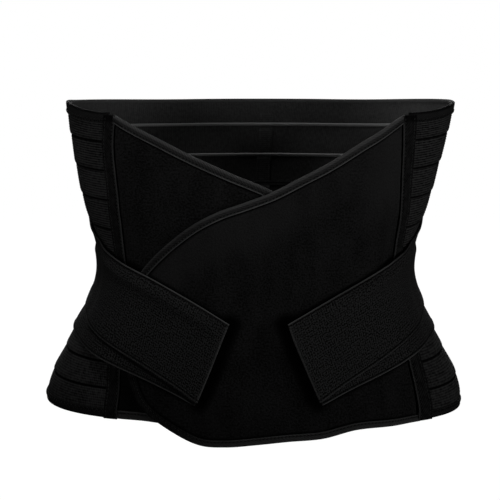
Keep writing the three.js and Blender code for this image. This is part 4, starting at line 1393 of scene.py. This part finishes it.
class BellyWrapSizes(bpy.types.PropertyGroup):
    """Sizes of the wrap's finer details."""
    rib_pitch: distance("Rib pitch", "Distance between the ribs of the elastic", 0.002, 0.001, 0.006)
    rib_depth: distance("Rib depth", "Height of the ribs of the elastic", 0.0004, 0.0, 0.001)
    stitch_length: distance("Stitch length", "Length of one visible stitch", 0.0022, 0.001, 0.006)
    stitch_spacing: distance("Stitch spacing", "Distance from one stitch to the next", 0.003, 0.0015, 0.01)
    thread: distance("Thread", "Thickness of the sewing thread", 0.0006, 0.0002, 0.0015)
    tip_lift: distance("Tip lift", "How far the straps' front ends stand off the panel", 0.005, 0.0, 0.008)


def colour(name, description, value):
    """A colour that a user would change, from its sRGB hex value."""
    return bpy.props.FloatVectorProperty(
        name=name, description=description, default=linear(value), min=0.0, max=1.0, subtype="COLOR")


class BellyWrapLooks(bpy.types.PropertyGroup):
    """Colours of the wrap's black cloths."""
    elastic: colour("Elastic", "Colour of the knitted elastic", "#1d1d1d")
    lining: colour("Lining", "Colour of the elastic's brushed inner face", "#383838")
    # painted highlight colour of the elastic's upper edges
    selvedge: colour("Selvedge", "Colour of the elastic's upper edges", "#7c7c7c")
    plush: colour("Plush", "Colour of the front panels", "#121212")
    tape: colour("Tape", "Colour of hems, tapes and bindings", "#111111")
    # painted highlight colour of the tapes', hems' and bindings' edges, also on the hems' paler inner legs
    tape_edge: colour("Tape edge", "Colour of the tapes' and bindings' edges", "#444444")
    webbing: colour("Webbing", "Colour of the straps", "#191919")
    # painted highlight colour of the straps' edges
    webbing_edge: colour("Webbing edge", "Colour of the straps' edges", "#464646")
    thread: colour("Thread", "Colour of the stitching", "#1e1e1e")
    # the hems' thread colour, near black as painted shade between its loops
    painted_shade_thread: colour("Dark thread", "Colour of the hems' stitching", "#080808")
    hook: colour("Hook tape", "Colour of the hook fasteners", "#121212")


# Operators

def add_lamp(light, place, aim, power):
    """Adds a light at a place, aimed at another."""
    light.energy = power
    lamp = bpy.data.objects.new(light.name, light)
    lamp.location = place
    lamp.rotation_euler = (Vector(aim) - Vector(place)).to_track_quat("-Z", "Y").to_euler()
    bpy.context.scene.collection.objects.link(lamp)


def add_stitches(name, paths, slot, finish=sewing_thread, slant=0.0, spacing=None, length=None, thickness=None):
    """Adds a piece of stitching along paths."""
    sizes = bpy.context.scene.belly_wrap_sizes
    values = {
        "Spacing": spacing or sizes.stitch_spacing,
        "Length": length or sizes.stitch_length,
        "Thickness": thickness or sizes.thread,
        "Slant": slant,
    }
    tree = tree_named("stitches", stitch_tree)
    return add_piece(path_mesh(name, paths), finish, tree=tree, values=values)


class BELLYWRAP_OT_elastic_bands(bpy.types.Operator):
    """Builds the ribbed elastic bands round the back and sides"""
    bl_idname = "belly_wrap.elastic_bands"
    bl_label = "Elastic bands"

    def execute(self, context):
        sizes = context.scene.belly_wrap_sizes
        values = {"Pitch": sizes.rib_pitch, "Depth": sizes.rib_depth}
        for number, level in enumerate(band_levels(), 1):
            mesh, length, width = elastic_band(f"ribbed_elastic_{number:02d}", level, number, sizes)
            piece = add_piece(mesh, knitted_elastic, [f"elastic_band_{number:02d}"],
                              tree_named("elastic_ribs", rib_tree), values)
        return {"FINISHED"}


class BELLYWRAP_OT_hems(bpy.types.Operator):
    """Builds the hems folded round the elastic's upper and lower edges"""
    bl_idname = "belly_wrap.hems"
    bl_label = "Hems"

    def execute(self, context):
        levels = band_levels()
        u = np.linspace(HEM_START, 1 - HEM_START, HEM_POINTS)
        hems = (
            ("top", levels[0], -1, TOP_HEM_HEIGHT, TOP_HEM_INSIDE),
            ("bottom", levels[-1], 1, BOTTOM_HEM_HEIGHT, 1),
        )
        for word, level, inwards, height, inner_share in hems:
            section = fold_section(height, BAND_THICKNESS / 2 + HEM_ROOM, HEM_FOLD, inner_share)
            length = band_length(level) * (u - u[0])
            mesh = folded(f"{word}_hem_fold", hem_point(level, inwards, u), length, section, **HEM_MARKS)
            piece = add_piece(mesh, twill_tape, [f"{word}_hem"])
            paths = hem_stitches(level, inwards, height - HEM_STITCH_INSET)
            if inner_share < 1:
                paths = paths[:1]
            stitches = add_stitches(f"{word}_hem_stitches", paths, "trim", painted_shade_sewing_thread, **HEM_STITCH)
        return {"FINISHED"}


class BELLYWRAP_OT_tapes(bpy.types.Operator):
    """Builds the tapes over the side seams and the two strips at the spine"""
    bl_idname = "belly_wrap.tapes"
    bl_label = "Tapes"

    def execute(self, context):
        strips = [
            ("left_seam_tape", "side_tape_left", side_tape_place(-1), TAPE_WIDTH, TAPE_BOTTOM_Z["left"], TAPE_TOP_Z),
            ("right_seam_tape", "side_tape_right", side_tape_place(1), TAPE_WIDTH, TAPE_BOTTOM_Z["right"], TAPE_TOP_Z),
            ("spine_cover_tape", "spine_tape", spine_tape_place, SPINE_TAPE["width"],
             SPINE_TAPE["bottom"], SPINE_TAPE["top"]),
            ("spine_inner_strip", "spine_channel", channel_place, SPINE_CHANNEL["width"],
             SPINE_CHANNEL["bottom"], SPINE_CHANNEL["top"]),
        ]
        for name, cad_node, place, width, low, high in strips:
            length = strip_length(low, high)
            sewn = []
            if cad_node == "spine_channel":
                piece = add_piece(channel_mesh(name, length, width), knitted_elastic, [cad_node])
            else:
                mesh = tape_mesh(name, place, length, width, both_edges=cad_node == "spine_tape")
                piece = add_piece(mesh, twill_tape, [cad_node])
                sewn = [add_stitches(f"{name}_stitches", tape_stitches(place, width), "trim")]
        return {"FINISHED"}


class BELLYWRAP_OT_front_panels(bpy.types.Operator):
    """Builds the two plush front panels, their bindings and their stitching"""
    bl_idname = "belly_wrap.front_panels"
    bl_label = "Front panels"

    def execute(self, context):
        panels = [
            ("under", UNDER_PANEL, under_panel_out, -1, 0, "left_seam_tape"),
            ("over", OVER_PANEL, over_panel_out, 1, 1, "right_seam_tape"),
        ]
        for word, panel, panel_out, side, away_along, tape in panels:
            piece = add_piece(front_panel(f"plush_panel_{word}", panel, panel_out, side), brushed_loop_cloth,
                              [f"front_panel_{word}"])
            edge = free_edge(panel, away_along)
            inward, length = binding_frame(edge)
            section = fold_section(BINDING_WIDTH, PANEL_THICKNESS / 2, BINDING_FOLD)
            point = binding_point(edge, inward, panel_out, side)
            mesh = folded(f"edge_binding_{word}", point, length, section, **binding_marks(edge, side))
            bound = add_piece(mesh, twill_tape, [f"binding_{word}"])
            depth = np.array([BINDING_WIDTH - BINDING_STITCH["inset"]])
            aside = np.array([PANEL_THICKNESS / 2 + BINDING_FOLD["thickness"] - BINDING_STITCH["sunk"]])
            sewn = slice(BINDING_STITCH["margin"], -BINDING_STITCH["margin"])
            paths = [(point(depth, aside)[sewn, 0], directions(*edge)[2][sewn])]
            stitches = add_stitches(f"edge_binding_{word}_stitches", paths, "trim")
        return {"FINISHED"}


class BELLYWRAP_OT_straps(bpy.types.Operator):
    """Builds the two layers of straps on each side and the stitching of their front ends"""
    bl_idname = "belly_wrap.straps"
    bl_label = "Straps"

    def execute(self, context):
        sizes = context.scene.belly_wrap_sizes
        for word, side in (("left", -1), ("right", 1)):
            for layer_word, strap, layer in (("lower", LOWER_STRAP, 0), ("upper", UPPER_STRAP, STRAP_LAYER)):
                place, length, width = strap_form(strap, side, layer, sizes)
                mesh = cloth(f"webbing_strap_{layer_word}_{word}", (length, width), STRAP_STEP, STRAP_THICKNESS,
                             place, strap_relief(width), selvedge=strap_highlights(width, layer),
                             crease=strap_crease(place, length, width, layer))
                piece = add_piece(mesh, looped_webbing, [f"strap_{layer_word}_{word}"])
                sewn = []
                if layer:
                    paths = strap_stitches(place, length, width)
                    sewn = [add_stitches(f"strap_end_stitches_{word}", paths, "webbing")]
        return {"FINISHED"}


class BELLYWRAP_OT_hook_fasteners(bpy.types.Operator):
    """Builds the hook tapes behind the strap ends and behind the over panel's free end"""
    bl_idname = "belly_wrap.hook_fasteners"
    bl_label = "Hook fasteners"

    def execute(self, context):
        hooks = [
            ("hook_tape_left", "strap_hook_left", strap_hook_place(-1), STRAP_HOOK, "webbing_strap_lower_left"),
            ("hook_tape_right", "strap_hook_right", strap_hook_place(1), STRAP_HOOK, "webbing_strap_lower_right"),
            ("hook_tape_closure", "closure_hook", closure_hook_place, CLOSURE_HOOK, "plush_panel_over"),
        ]
        for name, cad_node, place, hook, carrier in hooks:
            size = hook["size"]
            mesh = cloth(name, size, HOOK_STEP, HOOK_THICKNESS, place)
            piece = add_piece(mesh, nylon_hook_tape, [cad_node])
        return {"FINISHED"}


class BELLYWRAP_OT_stage(bpy.types.Operator):
    """Sets the pale floor, the soft studio lights and the camera"""
    bl_idname = "belly_wrap.stage"
    bl_label = "Stage"

    def execute(self, context):
        scene = context.scene
        scene.view_settings.view_transform = "Standard"
        corners = [(x * FLOOR_HALF, y * FLOOR_HALF, FLOOR_Z) for x, y in ((-1, -1), (1, -1), (1, 1), (-1, 1))]
        floor_mesh = bpy.data.meshes.new("floor")
        floor_mesh.from_pydata(corners, [], [(0, 1, 2, 3)])
        floor = bpy.data.objects.new("floor", floor_mesh)
        scene.collection.objects.link(floor)
        paper = bpy.data.materials.new("white_paper")
        paper.use_nodes = True
        paper_tree = paper.node_tree
        shader = paper_tree.nodes["Principled BSDF"]
        shader.inputs["Base Color"].default_value = linear(FLOOR_COLOUR) + [1]
        shader.inputs["Roughness"].default_value = 1.0
        shader.inputs["Specular IOR Level"].default_value = 0.0
        shader.inputs["Emission Color"].default_value = (1, 1, 1, 1)
        seen = node(paper_tree, "ShaderNodeLightPath").outputs["Is Camera Ray"]
        paper_tree.links.new(seen, shader.inputs["Emission Strength"])
        floor_mesh.materials.append(paper)

        world = bpy.data.worlds.new("studio")
        world.use_nodes = True
        sky = world.node_tree.nodes["Background"].inputs
        sky["Color"].default_value = (1, 1, 1, 1)
        seen = node(world.node_tree, "ShaderNodeLightPath").outputs["Is Camera Ray"]
        level = node(world.node_tree, "ShaderNodeMapRange", {"Value": seen, "To Min": SKY_LIGHT, "To Max": 1.0})
        world.node_tree.links.new(level.outputs[0], sky["Strength"])
        scene.world = world

        for name, place, aim, size, power in SOFTBOXES:
            light = bpy.data.lights.new(name, "AREA")
            light.size = size
            add_lamp(light, place, aim, power)
        for name, place, aim, beam, power in SPOTS:
            light = bpy.data.lights.new(name, "SPOT")
            light.shadow_soft_size = SPOT_RADIUS
            light.spot_size = math.radians(beam)
            light.spot_blend = 1.0
            add_lamp(light, place, aim, power)

        camera = bpy.data.objects.new("camera", bpy.data.cameras.new("camera"))
        camera.data.lens = CAMERA_LENS
        camera.data.sensor_width = CAMERA_SENSOR
        camera.data.clip_end = CAMERA_REACH
        camera.location = CAMERA_PLACE
        camera.rotation_euler = (CAMERA_PITCH, 0, 0)
        scene.collection.objects.link(camera)
        scene.camera = camera
        return {"FINISHED"}


class BELLYWRAP_PT_panel(bpy.types.Panel):
    """Lists the wrap's settings and the steps that build it"""
    bl_idname = "BELLYWRAP_PT_panel"
    bl_label = "Belly wrap"
    bl_space_type = "VIEW_3D"
    bl_region_type = "UI"
    bl_category = "Belly wrap"

    def draw(self, context):
        for group in (context.scene.belly_wrap_sizes, context.scene.belly_wrap_looks):
            box = self.layout.box()
            for key in group.bl_rna.properties.keys():
                if key not in ("rna_type", "name"):
                    box.prop(group, key)
        for step in STEPS:
            self.layout.operator(step.bl_idname)


STEPS = (
    BELLYWRAP_OT_stage,
    BELLYWRAP_OT_elastic_bands,
    BELLYWRAP_OT_hems,
    BELLYWRAP_OT_tapes,
    BELLYWRAP_OT_front_panels,
    BELLYWRAP_OT_straps,
    BELLYWRAP_OT_hook_fasteners,
)
CLASSES = (BellyWrapSizes, BellyWrapLooks, *STEPS, BELLYWRAP_PT_panel)


def register():
    for cls in CLASSES:
        bpy.utils.register_class(cls)
    bpy.types.Scene.belly_wrap_sizes = bpy.props.PointerProperty(type=BellyWrapSizes)
    bpy.types.Scene.belly_wrap_looks = bpy.props.PointerProperty(type=BellyWrapLooks)


def unregister():
    del bpy.types.Scene.belly_wrap_looks
    del bpy.types.Scene.belly_wrap_sizes
    for cls in reversed(CLASSES):
        bpy.utils.unregister_class(cls)


def main():
    register()
    bpy.ops.belly_wrap.stage()
    bpy.ops.belly_wrap.elastic_bands()
    bpy.ops.belly_wrap.hems()
    bpy.ops.belly_wrap.tapes()
    bpy.ops.belly_wrap.front_panels()
    bpy.ops.belly_wrap.straps()
    bpy.ops.belly_wrap.hook_fasteners()


if __name__ == "__main__":
    main()
